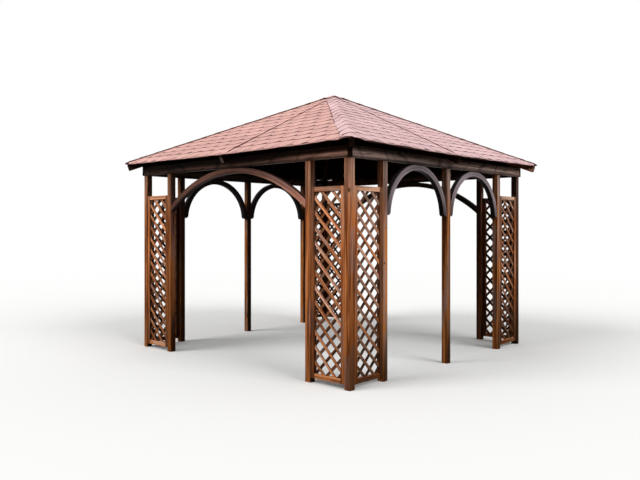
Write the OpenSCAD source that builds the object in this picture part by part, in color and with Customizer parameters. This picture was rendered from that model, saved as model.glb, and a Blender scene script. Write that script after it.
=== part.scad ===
// Square garden gazebo: fourteen posts, a ring beam with arches under it, trellis panels
// round each corner post, and a low hipped roof of eight prefabricated triangular panels.
// The origin is on the ground under the middle of the roof. Front is -Y, right is +X.

/* [Plan] */
// Distance between the centres of two neighbouring corner posts
post_span = 3240; // [2700:10:4200]
// Clear gap between a corner post and the flank post beside it, filled by a trellis panel
corner_bay = 420; // [300:10:560]
// Side of the square section of every post
post_w = 70; // [58:1:100]
// Length of every post, from the ground to the underside of the ring beam
post_h = 2100; // [1900:10:2600]
// Width planed off the four long edges of every post
post_chamfer = 4; // [1:0.5:8]

/* [Ring beam] */
// Height of the ring beam
beam_h = 105; // [80:1:150]
// Thickness of the ring beam
beam_t = 60; // [45:1:75]
// How far the outer face of the beam stands out past the outer face of the posts
beam_proud = 15; // [0:1:25]
// Width planed off the two lower edges of a beam
beam_chamfer = 5; // [1:0.5:12]

/* [Arches] */
// Thickness of an arch, from its outer face to its inner face
arch_t = 60; // [35:1:65]
// How far the face of an arch lies behind the outer face of the posts
arch_setback = 4; // [0:1:5]
// Radial depth of the round arches on the left and right sides
round_arch_depth = 60; // [40:1:90]
// Radial depth of the wide arches on the front and back
wide_arch_depth = 64; // [45:1:100]
// Rise of a wide arch, from the outer edge at a flank post to the crown
wide_arch_rise = 376; // [280:2:500]
// Depth planed off an arch where it bears on a beam or a post
arch_planed = 4; // [2:0.5:8]
// Width planed off the four curved edges of an arch
arch_chamfer = 4; // [1:0.5:10]
// How far above its springing a foot of a round arch is cut off
foot_rise = 15; // [0:1:30]
// Width of the bevel on the inner lower corner of such a foot
foot_bevel = 24; // [6:1:30]

/* [Trellis] */
// Open gap between the top of a trellis panel and the ring beam
trellis_gap = 255; // [120:5:500]
// Height of the underside of a trellis panel above the ground
trellis_foot = 45; // [20:1:120]
// How far the outer face of a trellis frame lies behind the outer face of the posts
trellis_setback = 4; // [0:1:20]
// Width of the stiles and rails of a trellis frame, seen from the front
trellis_frame_w = 45; // [30:1:55]
// Thickness of a trellis frame
trellis_frame_t = 40; // [28:1:60]
// Width of a trellis slat
slat_w = 30; // [20:1:36]
// Thickness of a trellis slat
slat_t = 9; // [6:0.5:12]
// Distance between the centre lines of neighbouring slats, across the slats
slat_pitch = 99; // [80:1:130]
// How deep the slat ends run into the groove of the frame
groove_depth = 12; // [6:1:20]
// How deep the slats of the two layers are let into each other where they cross
slat_lap = 1; // [0.5:0.5:3]

/* [Roof] */
// How far the eave stands out past the centre line of the corner posts
eave_overhang = 205; // [140:5:300]
// Height of the apex above the middle of an eave
roof_rise = 873; // [700:1:1100]
// How much higher the eave is at a corner than in the middle of a side
eave_lift = 15; // [0:1:30]
// Thickness of the board deck, measured plumb
deck_t = 20; // [15:1:28]
// Thickness of the shingle covering, measured plumb
shingle_t = 12; // [8:1:18]
// How far the shingles stand out past the edge of the deck
shingle_drip = 8; // [4:1:15]
// Width of the seam between the two panels of one roof face
seam_w = 3; // [2:0.5:6]

/* [Rafters] */
// Thickness of every rafter
rafter_w = 45; // [36:1:60]
// Depth of the common rafters, square to their length
common_h = 80; // [65:1:110]
// Depth of the hip rafters, square to their length
hip_h = 75; // [60:1:110]
// How far the end of a rafter's top edge lies inside the eave
tail_setback = 25; // [10:1:60]
// Depth of the notch of a common rafter at the outer face of the beam
notch_depth = 14; // [8:1:18]
// How far the heel of a hip rafter lies behind the corner of the beams
heel_setback = 4; // [0:1:8]
// How much wider each flat of the octagonal king block is than the rafter that butts against it
king_margin = 5; // [2:1:20]
// Height of the king block
king_h = 150; // [110:1:240]
// Width of the chamfer round the lower end of the king block
king_chamfer = 14; // [6:1:24]

/* [Fit] */
// Gap left between pieces that slide into place beside each other
fit = 0.3; // [0.2:0.05:0.5]

/* [Hidden] */

// A side is modelled as the front and turned about the vertical axis: 0 front, 1 right,
// 2 back, 3 left. Corner k lies at the right-hand end of side k. The end "a" of a side is
// its left-hand end seen from outside, and "b" is its right-hand end.
QUARTER = 90;
ROOT2 = sqrt(2);
ARC = 180;  // segments round a full circle

post_line = post_span / 2;                        // middle plane to the post centres of a side
post_face = post_line + post_w / 2;               // middle plane to the outer faces of the posts
beam_face = post_face + beam_proud;               // middle plane to the outer face of a beam
beam_inner = beam_face - beam_t;                  // middle plane to the inner face of a beam
beam_top = post_h + beam_h;
flank_x = post_line - post_w - corner_bay;        // middle of a side to the centre of a flank post
wide_bay = flank_x - post_w / 2;                  // half the clear width between the flank posts
round_bay = (flank_x - post_w) / 2;               // half the clear width beside a mid post
round_bay_x = flank_x / 2;                        // middle of a side to the middle of such a bay

eave = post_line + eave_overhang;                 // middle plane to the eave
deck_eave = eave - shingle_drip;
common_angle = atan(roof_rise / eave);
hip_angle = atan((roof_rise - eave_lift) / (eave * ROOT2));
cover_t = deck_t + shingle_t;                     // top of the rafters to the top of the roof, plumb
king_w = (rafter_w + king_margin) / tan(QUARTER / 4);  // between opposite flats of the king block
// Height of the roof's top surface over the outer face of a beam, in the middle of a side
roof_over_beam = beam_top - notch_depth + common_h / cos(common_angle) + cover_t;
mid_eave_z = roof_over_beam - tan(common_angle) * (eave - beam_face);
apex_z = mid_eave_z + roof_rise;

wood_post = [0.50, 0.27, 0.13];
wood_beam = [0.34, 0.19, 0.11];
wood_arch = [0.42, 0.23, 0.13];
wood_lattice = [0.58, 0.32, 0.16];
wood_rafter = [0.30, 0.17, 0.10];
wood_deck = [0.26, 0.16, 0.11];
shingle_red = [0.72, 0.42, 0.39];

// Top of the roof above a point in plan: four hipped faces, each folded slightly along its middle
function roof_z(x, y) =
    apex_z - roof_rise * max(abs(x), abs(y)) / eave + eave_lift * min(abs(x), abs(y)) / eave;

// Height of the roof's top above the line of a common rafter, and above that of a hip rafter,
// at a distance r from the apex in plan
function common_line(r) = roof_z(0, r);
function hip_line(r) = roof_z(r / ROOT2, r / ROOT2);

module side(k) { rotate([0, 0, k * QUARTER]) children(); }

// ---- posts ----

module post(x) {
    half = post_w / 2;
    flat = half - post_chamfer;
    outline = [
        [flat, -half], [half, -flat], [half, flat], [flat, half],
        [-flat, half], [-half, flat], [-half, -flat], [-flat, -half]
    ];
    color(wood_post)
        translate([x, -post_line, 0]) linear_extrude(height = post_h) polygon(outline);
}
module corner_post(k) { side(k) post(post_line); }
module flank_post(k, end) { side(k) post(end * flank_x); }
module mid_post(k) { side(k) post(0); }

// ---- ring beam ----

// The space between the two cuts at the ends of a beam. They run parallel to the diagonals, to
// leave room for the heels of the hip rafters.
module between_heels() {
    cut_back = (rafter_w / 2 + fit) * ROOT2;
    near = beam_face + beam_t;
    far = beam_inner - beam_t;
    reach_near = near - cut_back;
    reach_far = far - cut_back;
    translate([0, 0, post_h - beam_t]) linear_extrude(height = beam_h + 2 * beam_t)
        polygon([[-reach_near, -near], [reach_near, -near], [reach_far, -far], [-reach_far, -far]]);
}
module beam(k) {
    c = beam_chamfer;
    section = [
        [-beam_face, post_h + c], [-beam_face + c, post_h], [-beam_inner - c, post_h],
        [-beam_inner, post_h + c], [-beam_inner, beam_top], [-beam_face, beam_top]
    ];
    color(wood_beam) side(k)
        intersection() {
            translate([-beam_face, 0, 0]) rotate([90, 0, 90])
                linear_extrude(height = 2 * beam_face) polygon(section);
            between_heels();
        }
}

// ---- arches ----

// The bent piece as a whole ring, with its edges planed off
module ring(radius, depth) {
    c = arch_chamfer;
    inner = radius - depth;
    rotate_extrude($fn = ARC)
        polygon([
            [inner + c, 0], [radius - c, 0], [radius, c], [radius, arch_t - c],
            [radius - c, arch_t], [inner + c, arch_t], [inner, arch_t - c], [inner, c]
        ]);
}

// A ring fitted between two uprights and planed flat under the beam. x is the middle of the bay,
// half_w half its clear width and sill the height at which the ring is cut off.
module arch(x, half_w, radius, depth, sill) {
    centre_z = post_h + arch_planed - radius;
    translate([x, -post_face + arch_setback, 0])
        intersection() {
            translate([0, 0, centre_z]) rotate([-90, 0, 0]) ring(radius, depth);
            translate([-half_w + fit, -1, sill])
                cube([2 * (half_w - fit), arch_t + 2, post_h - fit - sill]);
        }
}
module wide_arch(k) {
    radius = (wide_bay * wide_bay + wide_arch_rise * wide_arch_rise) / (2 * wide_arch_rise);
    color(wood_arch)
        side(k) arch(0, wide_bay, radius, wide_arch_depth, post_h - wide_arch_rise - wide_arch_depth * 2);
}
module round_arch(k, end) {
    radius = round_bay + arch_planed;
    sill = post_h + arch_planed - radius + foot_rise;
    inner = radius - round_arch_depth;
    bar = foot_bevel * ROOT2;
    color(wood_arch)
        side(k) difference() {
            arch(end * round_bay_x, round_bay, radius, round_arch_depth, sill);
            for (hand = [-1, 1])
                translate([end * round_bay_x + hand * inner, -post_line, sill])
                    rotate([0, QUARTER / 2, 0]) cube([bar, 2 * post_w, bar], center = true);
        }
}

// ---- trellis ----

// One layer of slats, clipped by a rectangle w wide and h high whose lower left corner is the
// origin. lean is 1 for slats that rise to the right and -1 for slats that fall to the right.
module slat_layer(w, h, lean) {
    step = slat_pitch * ROOT2;                    // spacing of the slats along an upright edge
    half = slat_w / ROOT2;                        // half the length of their cut on that edge
    linear_extrude(height = slat_t)
        intersection() {
            square([w, h]);
            union() for (z = [-w - step / 2 : step : h + w + step])
                polygon(lean > 0
                    ? [[0, z - half], [w, z + w - half], [w, z + w + half], [0, z + half]]
                    : [[0, z - half], [w, z - w - half], [w, z - w + half], [0, z + half]]);
        }
}

// The frame stands flush between two posts. The outer slats fall to the right, the inner rise.
module trellis(k, end) {
    w = corner_bay - 2 * fit;
    h = post_h - trellis_gap - trellis_foot;
    open_w = w - 2 * trellis_frame_w;
    open_h = h - 2 * trellis_frame_w;
    slats_w = open_w + 2 * groove_depth;
    slats_h = open_h + 2 * groove_depth;
    edge = trellis_frame_w - groove_depth;
    slats_depth = 2 * slat_t - slat_lap;
    first_face = (trellis_frame_t - slats_depth) / 2;
    bay_x = end * (flank_x + post_w / 2 + corner_bay / 2);
    color(wood_lattice) side(k)
        translate([bay_x - w / 2, -post_face + trellis_setback + trellis_frame_t, trellis_foot])
            rotate([90, 0, 0]) {
                difference() {
                    cube([w, h, trellis_frame_t]);
                    translate([trellis_frame_w, trellis_frame_w, -1])
                        cube([open_w, open_h, trellis_frame_t + 2]);
                }
                translate([edge, edge, first_face]) slat_layer(slats_w, slats_h, 1);
                translate([edge, edge, first_face + slat_t - slat_lap]) slat_layer(slats_w, slats_h, -1);
            }
}

// ---- rafters ----

// An upright plank that runs out along +X from the axis, with this outline in the X-Z plane
module plank(outline) {
    translate([0, rafter_w / 2, 0]) rotate([90, 0, 0])
        linear_extrude(height = rafter_w) polygon(outline);
}

module common_rafter(k) {
    angle = common_angle;
    plumb_h = common_h / cos(angle);
    tail = eave - tail_setback;
    king = king_w / 2;
    seat = beam_face + fit;                       // plumb cut of the notch
    seat_end = beam_face - notch_depth / tan(angle);
    tail_z = common_line(tail) - cover_t;
    color(wood_rafter) side(k) rotate([0, 0, -QUARTER])
        plank([
            [king, common_line(king) - cover_t],
            [king, common_line(king) - cover_t - plumb_h],
            [seat_end, beam_top],
            [seat, beam_top],
            [seat, common_line(seat) - cover_t - plumb_h],
            [tail - common_h * sin(angle), tail_z - common_h * cos(angle)],
            [tail, tail_z]
        ]);
}

// The space under the deck: the rafters fill it up to its eight sloping faces
module under_deck() {
    r = eave + post_w;
    z = function(x, y) roof_z(x, y) - cover_t;
    base = post_h - post_w;
    rim = [[r, 0], [r, r], [0, r], [-r, r], [-r, 0], [-r, -r], [0, -r], [r, -r]];
    polyhedron(
        points = concat(
            [for (p = rim) [p.x, p.y, z(p.x, p.y)]],
            [for (p = rim) [p.x, p.y, base]],
            [[0, 0, z(0, 0)]]
        ),
        faces = concat(
            [for (i = [0 : 7]) [16, (i + 1) % 8, i]],
            [for (i = [0 : 7]) [i, (i + 1) % 8, 8 + (i + 1) % 8, 8 + i]],
            [[for (i = [0 : 7]) 8 + i]]
        )
    );
}

// The heel goes down between the ends of the two beams and stands on the corner post
module hip_rafter(k) {
    angle = hip_angle;
    plumb_h = hip_h / cos(angle);
    tail = (eave - tail_setback) * ROOT2;
    king = king_w / 2;
    heel_out = (beam_face - heel_setback) * ROOT2;
    heel_in = (post_line - post_w / 2) * ROOT2;
    tail_z = hip_line(tail) - cover_t;
    color(wood_rafter)
        intersection() {
            side(k) rotate([0, 0, -QUARTER / 2])
                plank([
                    [king, hip_line(king) - cover_t],
                    [king, hip_line(king) - cover_t - plumb_h],
                    [heel_in, hip_line(heel_in) - cover_t - plumb_h],
                    [heel_in, post_h],
                    [heel_out, post_h],
                    [heel_out, hip_line(heel_out) - cover_t - plumb_h],
                    [tail - hip_h * sin(angle), tail_z - hip_h * cos(angle)],
                    [tail, tail_z]
                ]);
            under_deck();
        }
}

module king_block() {
    top = common_line(king_w / 2) - cover_t;
    foot = top - king_h;
    corner_r = king_w / 2 / cos(QUARTER / 4);
    color(wood_rafter) rotate([0, 0, QUARTER / 4]) {
        translate([0, 0, foot + king_chamfer])
            cylinder(h = king_h - king_chamfer, r = corner_r, $fn = 8);
        translate([0, 0, foot])
            cylinder(h = king_chamfer, r1 = corner_r - king_chamfer, r2 = corner_r, $fn = 8);
    }
}

// ---- roof ----

// Half of a roof face: a triangle in plan between the seam, a hip and the eave, mirrored for the
// other half. It is cut plumb all round, and lies between two depths below the roof's top.
module roof_triangle(reach, hip_gap, top_drop, bottom_drop, hand) {
    seam = seam_w / 2;
    hip = hip_gap * ROOT2;
    outline = [[seam, -seam - hip], [reach - hip, -reach], [seam, -reach]];
    plan = [for (p = outline) [hand * p.x, p.y]];
    upper = [for (p = plan) [p.x, p.y, roof_z(p.x, p.y) - top_drop]];
    lower = [for (p = plan) [p.x, p.y, roof_z(p.x, p.y) - bottom_drop]];
    sides = [for (i = [0 : 2]) [(i + 1) % 3, i, 3 + i, 3 + (i + 1) % 3]];
    faces = concat([[0, 1, 2], [5, 4, 3]], sides);
    turned = [for (f = faces) [for (i = [len(f) - 1 : -1 : 0]) f[i]]];
    polyhedron(points = concat(upper, lower), faces = hand > 0 ? faces : turned);
}
module deck(k) {
    color(wood_deck) side(k) for (hand = [-1, 1])
        roof_triangle(deck_eave, seam_w / 2, shingle_t, cover_t, hand);
}
module shingles(k) {
    color(shingle_red) side(k) for (hand = [-1, 1])
        roof_triangle(eave, 0, 0, shingle_t, hand);
}

corner_post(0);  // corner_post_front_right
corner_post(1);  // corner_post_back_right
corner_post(2);  // corner_post_back_left
corner_post(3);  // corner_post_front_left
flank_post(0, -1);  // flank_post_front_a
flank_post(0, 1);  // flank_post_front_b
flank_post(1, -1);  // flank_post_right_a
flank_post(1, 1);  // flank_post_right_b
flank_post(2, -1);  // flank_post_back_a
flank_post(2, 1);  // flank_post_back_b
flank_post(3, -1);  // flank_post_left_a
flank_post(3, 1);  // flank_post_left_b
mid_post(1);  // mid_post_right
mid_post(3);  // mid_post_left
trellis(0, -1);  // trellis_front_a
trellis(0, 1);  // trellis_front_b
trellis(1, -1);  // trellis_right_a
trellis(1, 1);  // trellis_right_b
trellis(2, -1);  // trellis_back_a
trellis(2, 1);  // trellis_back_b
trellis(3, -1);  // trellis_left_a
trellis(3, 1);  // trellis_left_b
beam(0);  // beam_front
beam(1);  // beam_right
beam(2);  // beam_back
beam(3);  // beam_left
wide_arch(0);  // wide_arch_front
wide_arch(2);  // wide_arch_back
round_arch(1, -1);  // round_arch_right_a
round_arch(1, 1);  // round_arch_right_b
round_arch(3, -1);  // round_arch_left_a
round_arch(3, 1);  // round_arch_left_b
hip_rafter(0);  // hip_rafter_front_right
hip_rafter(1);  // hip_rafter_back_right
hip_rafter(2);  // hip_rafter_back_left
hip_rafter(3);  // hip_rafter_front_left
common_rafter(0);  // common_rafter_front
common_rafter(1);  // common_rafter_right
common_rafter(2);  // common_rafter_back
common_rafter(3);  // common_rafter_left
king_block();
deck(0);  // deck_front
deck(1);  // deck_right
deck(2);  // deck_back
deck(3);  // deck_left
shingles(0);  // shingles_front
shingles(1);  // shingles_right
shingles(2);  // shingles_back
shingles(3);  // shingles_left
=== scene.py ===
# %% [markdown]
# # A square garden gazebo: stained timber frame, trellis corners, shingled roof
#
# The real object comes as a kit. Fourteen posts carry a ring beam, bent arches fill the wide
# bays, trellis panels close the corners, and eight triangular roof panels make a low hipped
# roof. The packed model already holds every load-bearing piece at its true size, so this
# script only adds what carpenters and roofers see from close by: the single slats, boards and
# shingles, and the finish of each surface. The model is loaded first, because every place and
# size below is read from it.

# %% Load the packed model
import math
import random

import bmesh
import bpy
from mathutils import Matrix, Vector, noise


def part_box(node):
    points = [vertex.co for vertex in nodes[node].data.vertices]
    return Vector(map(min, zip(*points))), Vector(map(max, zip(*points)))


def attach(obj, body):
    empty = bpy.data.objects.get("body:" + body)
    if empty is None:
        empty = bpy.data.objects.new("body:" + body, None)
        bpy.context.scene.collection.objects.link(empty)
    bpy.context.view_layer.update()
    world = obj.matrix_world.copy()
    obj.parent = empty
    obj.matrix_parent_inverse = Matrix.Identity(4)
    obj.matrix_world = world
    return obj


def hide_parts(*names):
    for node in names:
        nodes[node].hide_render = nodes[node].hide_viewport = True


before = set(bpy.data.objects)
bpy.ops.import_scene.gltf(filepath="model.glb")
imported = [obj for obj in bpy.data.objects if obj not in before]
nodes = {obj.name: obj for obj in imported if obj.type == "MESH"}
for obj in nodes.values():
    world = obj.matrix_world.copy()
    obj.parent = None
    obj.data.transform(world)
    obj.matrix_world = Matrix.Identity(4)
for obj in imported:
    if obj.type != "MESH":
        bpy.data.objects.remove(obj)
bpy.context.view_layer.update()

# %% [markdown]
# ## Reading the frame's sizes
#
# Four sides are copies of one another, turned a quarter at a time. So one side is measured, and
# everything made for it is turned about the upright axis to the other three. A place on a side
# is given by how far it lies along the side, how far out from the middle, and how high. Writing
# all geometry in those three numbers is simpler than repeating it for X and Y.

# %% One side, and how it is turned to the others
SIDES = ("front", "right", "back", "left")
CORNERS = ("front_right", "back_right", "back_left", "front_left")


def turned(side, along, out, height):
    """A point of one side of the gazebo, in the frame's own X, Y and Z."""
    x, y = along, -out
    for _ in range(side):
        x, y = -y, x
    return Vector((x, y, height))


def side_box(node):
    """Lowest and highest (along, out, height) of a CAD node that belongs to the front."""
    low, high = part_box(node)
    return Vector((low.x, -high.y, low.z)), Vector((high.x, -low.y, high.z))


post_low, post_high = side_box("flank_post_front_b")
post_w = post_high.x - post_low.x
post_h = post_high.z
wall_inside = post_low.y - post_w
print(f"posts {post_w * 1000:.0f} mm square and {post_h:.3f} m high")

# %% [markdown]
# ## The roof as a formula
#
# Each face of the roof is folded a little along its middle, because the eave is higher at the
# corners. The shingles, the boards and the hips all lie at some depth under one surface, so that
# surface is written once, from three heights measured on the CAD shingles. Shingles don't fold
# sharply over a hip: they touch the ridge and bulge a little on both sides of it. `bend` is about
# the width of that curve.

# %% Heights measured on the covering, and the surface through them
def highest_near(node, x, y, reach=0.01):
    """Height of the top of a CAD node close to a point in plan."""
    corners = [v.co for v in nodes[node].data.vertices]
    return max(p.z for p in corners if math.hypot(p.x - x, p.y - y) < reach)


eave = side_box("shingles_front")[1].y
deck_eave = side_box("deck_front")[1].y
apex_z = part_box("shingles_front")[1].z
middle_z = highest_near("shingles_front", 0, -eave)
corner_z = highest_near("shingles_front", eave, -eave)


def roof_z(x, y, bend=0.0, sunk=0.0):
    """Height of the roof's top over a point in plan, sharp at the hips or bent over them.

    A sheet bent over a hip curves within a distance of bend to either side. It lies on the ridge
    line itself, or sunk below it near a corner, where the boards end and it hangs free.
    """
    across = abs(abs(x) - abs(y))
    curved = across
    bulge = 0.0
    if across < bend:
        curved = (across ** 2 / bend + bend) / 2
        lost = bend / 4 * (apex_z + corner_z - 2 * middle_z) / eave
        bulge = (lost - sunk) * (1 - (across / bend) ** 2) ** 2
    far = (abs(x) + abs(y) + curved) / 2
    near = abs(x) + abs(y) - far
    return apex_z - (apex_z - middle_z) * far / eave + (corner_z - middle_z) * near / eave + bulge


deck_top_z = highest_near("deck_front", 0, -deck_eave)
covering_t = roof_z(0, deck_eave) - deck_top_z
deck_t = deck_top_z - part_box("deck_front")[0].z
roof_slope = math.atan((apex_z - middle_z) / eave)
print(f"eave at {eave:.3f} m, slope {math.degrees(roof_slope):.1f} degrees")
print(f"boards {deck_t:.4f} m thick, covering {covering_t:.4f} m")

# %% [markdown]
# ## Camera
#
# The gazebo is seen from a standing person's eye height, nearly corner on, so that two faces
# show and the near corner post stands a little right of the middle. A person keeps the camera
# level. A level camera draws the posts upright, and the small shift moves the picture down
# without tilting it.

# %% A level camera at eye height
EYE = (5.457, -6.182, 1.471)          # where the eye is, at the height of a standing person's
TURN = math.radians(42.625)           # how far the view is turned from the Y axis to the left
camera_data = bpy.data.cameras.new("camera")
camera_data.lens = 37.16
camera_data.shift_y = -0.0205
camera_data.clip_end = 200
camera = bpy.data.objects.new("camera", camera_data)
camera.location = EYE
camera.rotation_euler = (math.pi / 2, 0, TURN)
bpy.context.scene.collection.objects.link(camera)
bpy.context.scene.camera = camera
print("camera", tuple(camera.location), "distance", round(camera.location.xy.length, 2))

# %% [markdown]
# ## Wiring shader nodes
#
# Procedural finishes need many small nodes. A few helpers keep each finish readable: `Bench`
# places a node, wires whatever it is given, and hands back the socket that comes out. A value
# may be a plain number, a colour or another node's socket.

# %% Helpers that place and wire nodes
class Bench:
    """Places and wires the nodes of one shader tree."""

    def __init__(self, tree):
        self.tree = tree

    def feed(self, socket, value):
        """Wires another node's socket to an input, or gives it a plain number or colour."""
        if isinstance(value, bpy.types.NodeSocket):
            self.tree.links.new(value, socket)
        elif socket.type == "VECTOR":
            socket.default_value = tuple(value)[:3]
        else:
            socket.default_value = value

    def node(self, kind, inputs=None, **settings):
        """Places a node with its settings, and feeds its inputs by name or number."""
        made = self.tree.nodes.new(kind)
        for key, value in settings.items():
            setattr(made, key, value)
        for key, value in (inputs or {}).items():
            self.feed(made.inputs[key], value)
        return made

    def math(self, operation, *values):
        made = self.node("ShaderNodeMath", dict(enumerate(values)), operation=operation)
        return made.outputs[0]

    def vector(self, operation, *values):
        made = self.node("ShaderNodeVectorMath", dict(enumerate(values)), operation=operation)
        scalar = operation in ("DOT_PRODUCT", "LENGTH", "DISTANCE")
        return made.outputs["Value" if scalar else "Vector"]

    def axes(self, vector):
        return self.node("ShaderNodeSeparateXYZ", {0: vector}).outputs

    def combine(self, x, y, z):
        return self.node("ShaderNodeCombineXYZ", {0: x, 1: y, 2: z}).outputs[0]

    def ramp(self, value, start, end, low=0.0, high=1.0):
        """A smooth step from low at start to high at end."""
        made = self.node(
            "ShaderNodeMapRange",
            {"Value": value, "From Min": start, "From Max": end, "To Min": low, "To Max": high},
            interpolation_type="SMOOTHSTEP",
        )
        return made.outputs["Result"]

    def noise(self, vector, stretch, detail=2.0, roughness=0.5):
        """Noise whose features measure 1 / stretch along each axis of the vector."""
        scaled = self.vector("MULTIPLY", vector, stretch)
        made = self.node(
            "ShaderNodeTexNoise",
            {"Vector": scaled, "Scale": 1.0, "Detail": detail, "Roughness": roughness},
        )
        return made.outputs["Fac"]

    def mix(self, factor, first, second, blend="MIX"):
        """The first colour at factor 0 and the second at factor 1."""
        made = self.node("ShaderNodeMix", data_type="RGBA", blend_type=blend)
        for index, value in ((0, factor), (6, first), (7, second)):
            self.feed(made.inputs[index], value)
        return made.outputs[2]

    def shade(self, colour, factor):
        """A colour made lighter or darker by a factor that changes over the surface."""
        made = self.node("ShaderNodeVectorMath", {0: colour, "Scale": factor}, operation="SCALE")
        return made.outputs[0]


print("a bench offers", ", ".join(tool for tool in vars(Bench) if not tool.startswith("_")))

# %% A node group with named sockets
def shader_group(name, inputs, outputs):
    """An empty node group. Returns its tree, a Bench on it, its inputs and its output node."""
    tree = bpy.data.node_groups.new(name, "ShaderNodeTree")
    for socket, kind in inputs.items():
        tree.interface.new_socket(socket, in_out="INPUT", socket_type="NodeSocket" + kind)
    for socket, kind in outputs.items():
        tree.interface.new_socket(socket, in_out="OUTPUT", socket_type="NodeSocket" + kind)
    bench = Bench(tree)
    given = bench.node("NodeGroupInput").outputs
    result = bench.node("NodeGroupOutput").inputs
    return tree, bench, given, result


print("a group can have any sockets of the kinds Float, Vector and Color")

# %% [markdown]
# ## Fibre directions
#
# Wood looks right only if its pattern follows the fibre: along a post, down the slope of a
# rafter, and round the curve of a bent arch. Every wood finish therefore works in three numbers
# instead of X, Y and Z: how far along the fibre a point lies, and how far across and how deep it
# is from the middle of the member. For a straight member those are three dot products. For an
# arch they are an angle and a radius. Pieces made in this script store them on the mesh.

# %% Groups that turn a place into fibre directions
def make_straight_fibre():
    """Three dot products with the directions of a straight member."""
    tree, bench, given, result = shader_group(
        "straight fibre",
        {"Position": "Vector", "Centre": "Vector", "Along": "Vector", "Across": "Vector"},
        {"Fibre": "Vector"},
    )
    offset = bench.vector("SUBTRACT", given["Position"], given["Centre"])
    depth = bench.vector("CROSS_PRODUCT", given["Along"], given["Across"])
    axes = (given["Along"], given["Across"], depth)
    parts = [bench.vector("DOT_PRODUCT", offset, axis) for axis in axes]
    bench.feed(result["Fibre"], bench.combine(*parts))
    return tree


def make_bent_fibre():
    """The angle along an arch, as a length of its middle line, and the distance from that line."""
    tree, bench, given, result = shader_group(
        "bent fibre",
        {"Position": "Vector", "Centre": "Vector", "Across": "Vector", "Radius": "Float"},
        {"Fibre": "Vector"},
    )
    offset = bench.vector("SUBTRACT", given["Position"], given["Centre"])
    level = bench.vector("DOT_PRODUCT", offset, given["Across"])
    upright = bench.axes(offset)["Z"]
    outward = bench.vector("CROSS_PRODUCT", given["Across"], (0, 0, 1))
    depth = bench.vector("DOT_PRODUCT", offset, outward)
    angle = bench.math("ARCTAN2", level, upright)
    radius = bench.vector("LENGTH", bench.combine(level, upright, 0.0))
    along = bench.math("MULTIPLY", angle, given["Radius"])
    across = bench.math("SUBTRACT", radius, given["Radius"])
    bench.feed(result["Fibre"], bench.combine(along, across, depth))
    return tree


STRAIGHT_FIBRE = make_straight_fibre()
BENT_FIBRE = make_bent_fibre()
print("fibre groups:", STRAIGHT_FIBRE.name, "and", BENT_FIBRE.name)

# %% [markdown]
# ## Grain
#
# A board is cut from a trunk, so its pattern is a solid one: year rings round a pith that lies
# somewhere beside the board, branches that show as knots, and shrinkage cracks along the fibre.
# A flat picture of wood would tear at every edge. This group makes the pattern in the solid, so
# it runs round each corner and shows end grain where a member is cut. The pith is placed by
# moving the fibre coordinates, and the seed gives every member its own piece of the tree.

# %% Knots, year rings and cracks
KNOT_CELL = (0.34, 0.15, 0.15)        # metres of trunk for each knot, along and across the fibre
LEAST_KNOT = 0.002                    # smaller ones have no knot at all


def scattered_knots(bench, given, place):
    """Mask of the nearest knot, the distance to its middle, and its size.

    A knot is a ball round the nearest of many scattered points. Some of them carry none.
    """
    cell_place = bench.vector("DIVIDE", place, KNOT_CELL)
    cells = bench.node(
        "ShaderNodeTexVoronoi", {"Vector": cell_place, "Scale": 1.0, "Randomness": 0.9}
    )
    offset = bench.vector("SUBTRACT", cell_place, cells.outputs["Position"])
    offset = bench.vector("MULTIPLY", offset, KNOT_CELL)
    ragged = bench.noise(place, (40, 90, 90), detail=1.0)
    distance = bench.vector("LENGTH", bench.vector("MULTIPLY", offset, (0.7, 1.0, 0.8)))
    distance = bench.math("MULTIPLY_ADD", ragged, 0.004, distance)
    chance = bench.axes(cells.outputs["Color"])["X"]
    empty = bench.math("SUBTRACT", 1.0, given["Knot Share"])
    size = bench.ramp(chance, empty, 1.0, 0.0, given["Knot Radius"])
    knot = bench.ramp(distance, bench.math("MULTIPLY", size, 0.65), size, 1.0, 0.0)
    knot = bench.math("MULTIPLY", knot, bench.math("GREATER_THAN", size, LEAST_KNOT))
    return knot, distance, size


def year_rings(bench, given, place, distance, size):
    """Late wood of rings that wander along the trunk and bulge round each knot."""
    slow = bench.vector("MULTIPLY", place, (0.9, 3, 3))
    wander = bench.node("ShaderNodeTexNoise", {"Vector": slow, "Scale": 1.0})
    wander = bench.vector("SUBTRACT", wander.outputs["Color"], (0.5, 0.5, 0.5))
    bent = bench.vector("ADD", given["Fibre"], bench.vector("MULTIPLY", wander, (0.0, 0.05, 0.05)))
    bent = bench.vector("MULTIPLY", bench.vector("ADD", bent, given["Pith"]), (0.0, 1.0, 1.0))
    bulge = bench.ramp(distance, 0.0, 0.05, 0.011, 0.0)
    bulge = bench.math("MULTIPLY", bulge, bench.math("SIGN", size))
    radius = bench.math("ADD", bench.vector("LENGTH", bent), bulge)
    uneven = bench.noise(place, (0.5, 14, 14), detail=1.0)
    rings = bench.math("DIVIDE", radius, given["Ring Width"])
    turn = bench.math("FRACT", bench.math("MULTIPLY_ADD", uneven, 1.6, rings))
    hardening = bench.ramp(turn, 0.25, 0.85)
    return bench.math("MULTIPLY", hardening, bench.ramp(turn, 0.9, 1.0, 1.0, 0.0))


def cracks(bench, place):
    """Mask of cracks: where a noise crosses its middle value, in areas another one allows."""
    long_waves = bench.noise(place, (1.3, 38, 38), detail=1.0)
    line = bench.math("ABSOLUTE", bench.math("SUBTRACT", long_waves, 0.5))
    elsewhere = bench.vector("ADD", place, (4, 4, 4))
    dried_out = bench.ramp(bench.noise(elsewhere, (0.9, 7, 7), detail=1.0), 0.54, 0.64)
    return bench.math("MULTIPLY", bench.ramp(line, 0.004, 0.022, 1.0, 0.0), dried_out)


print(f"one knot, at most, in each {KNOT_CELL[0]} m of a trunk")

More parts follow.
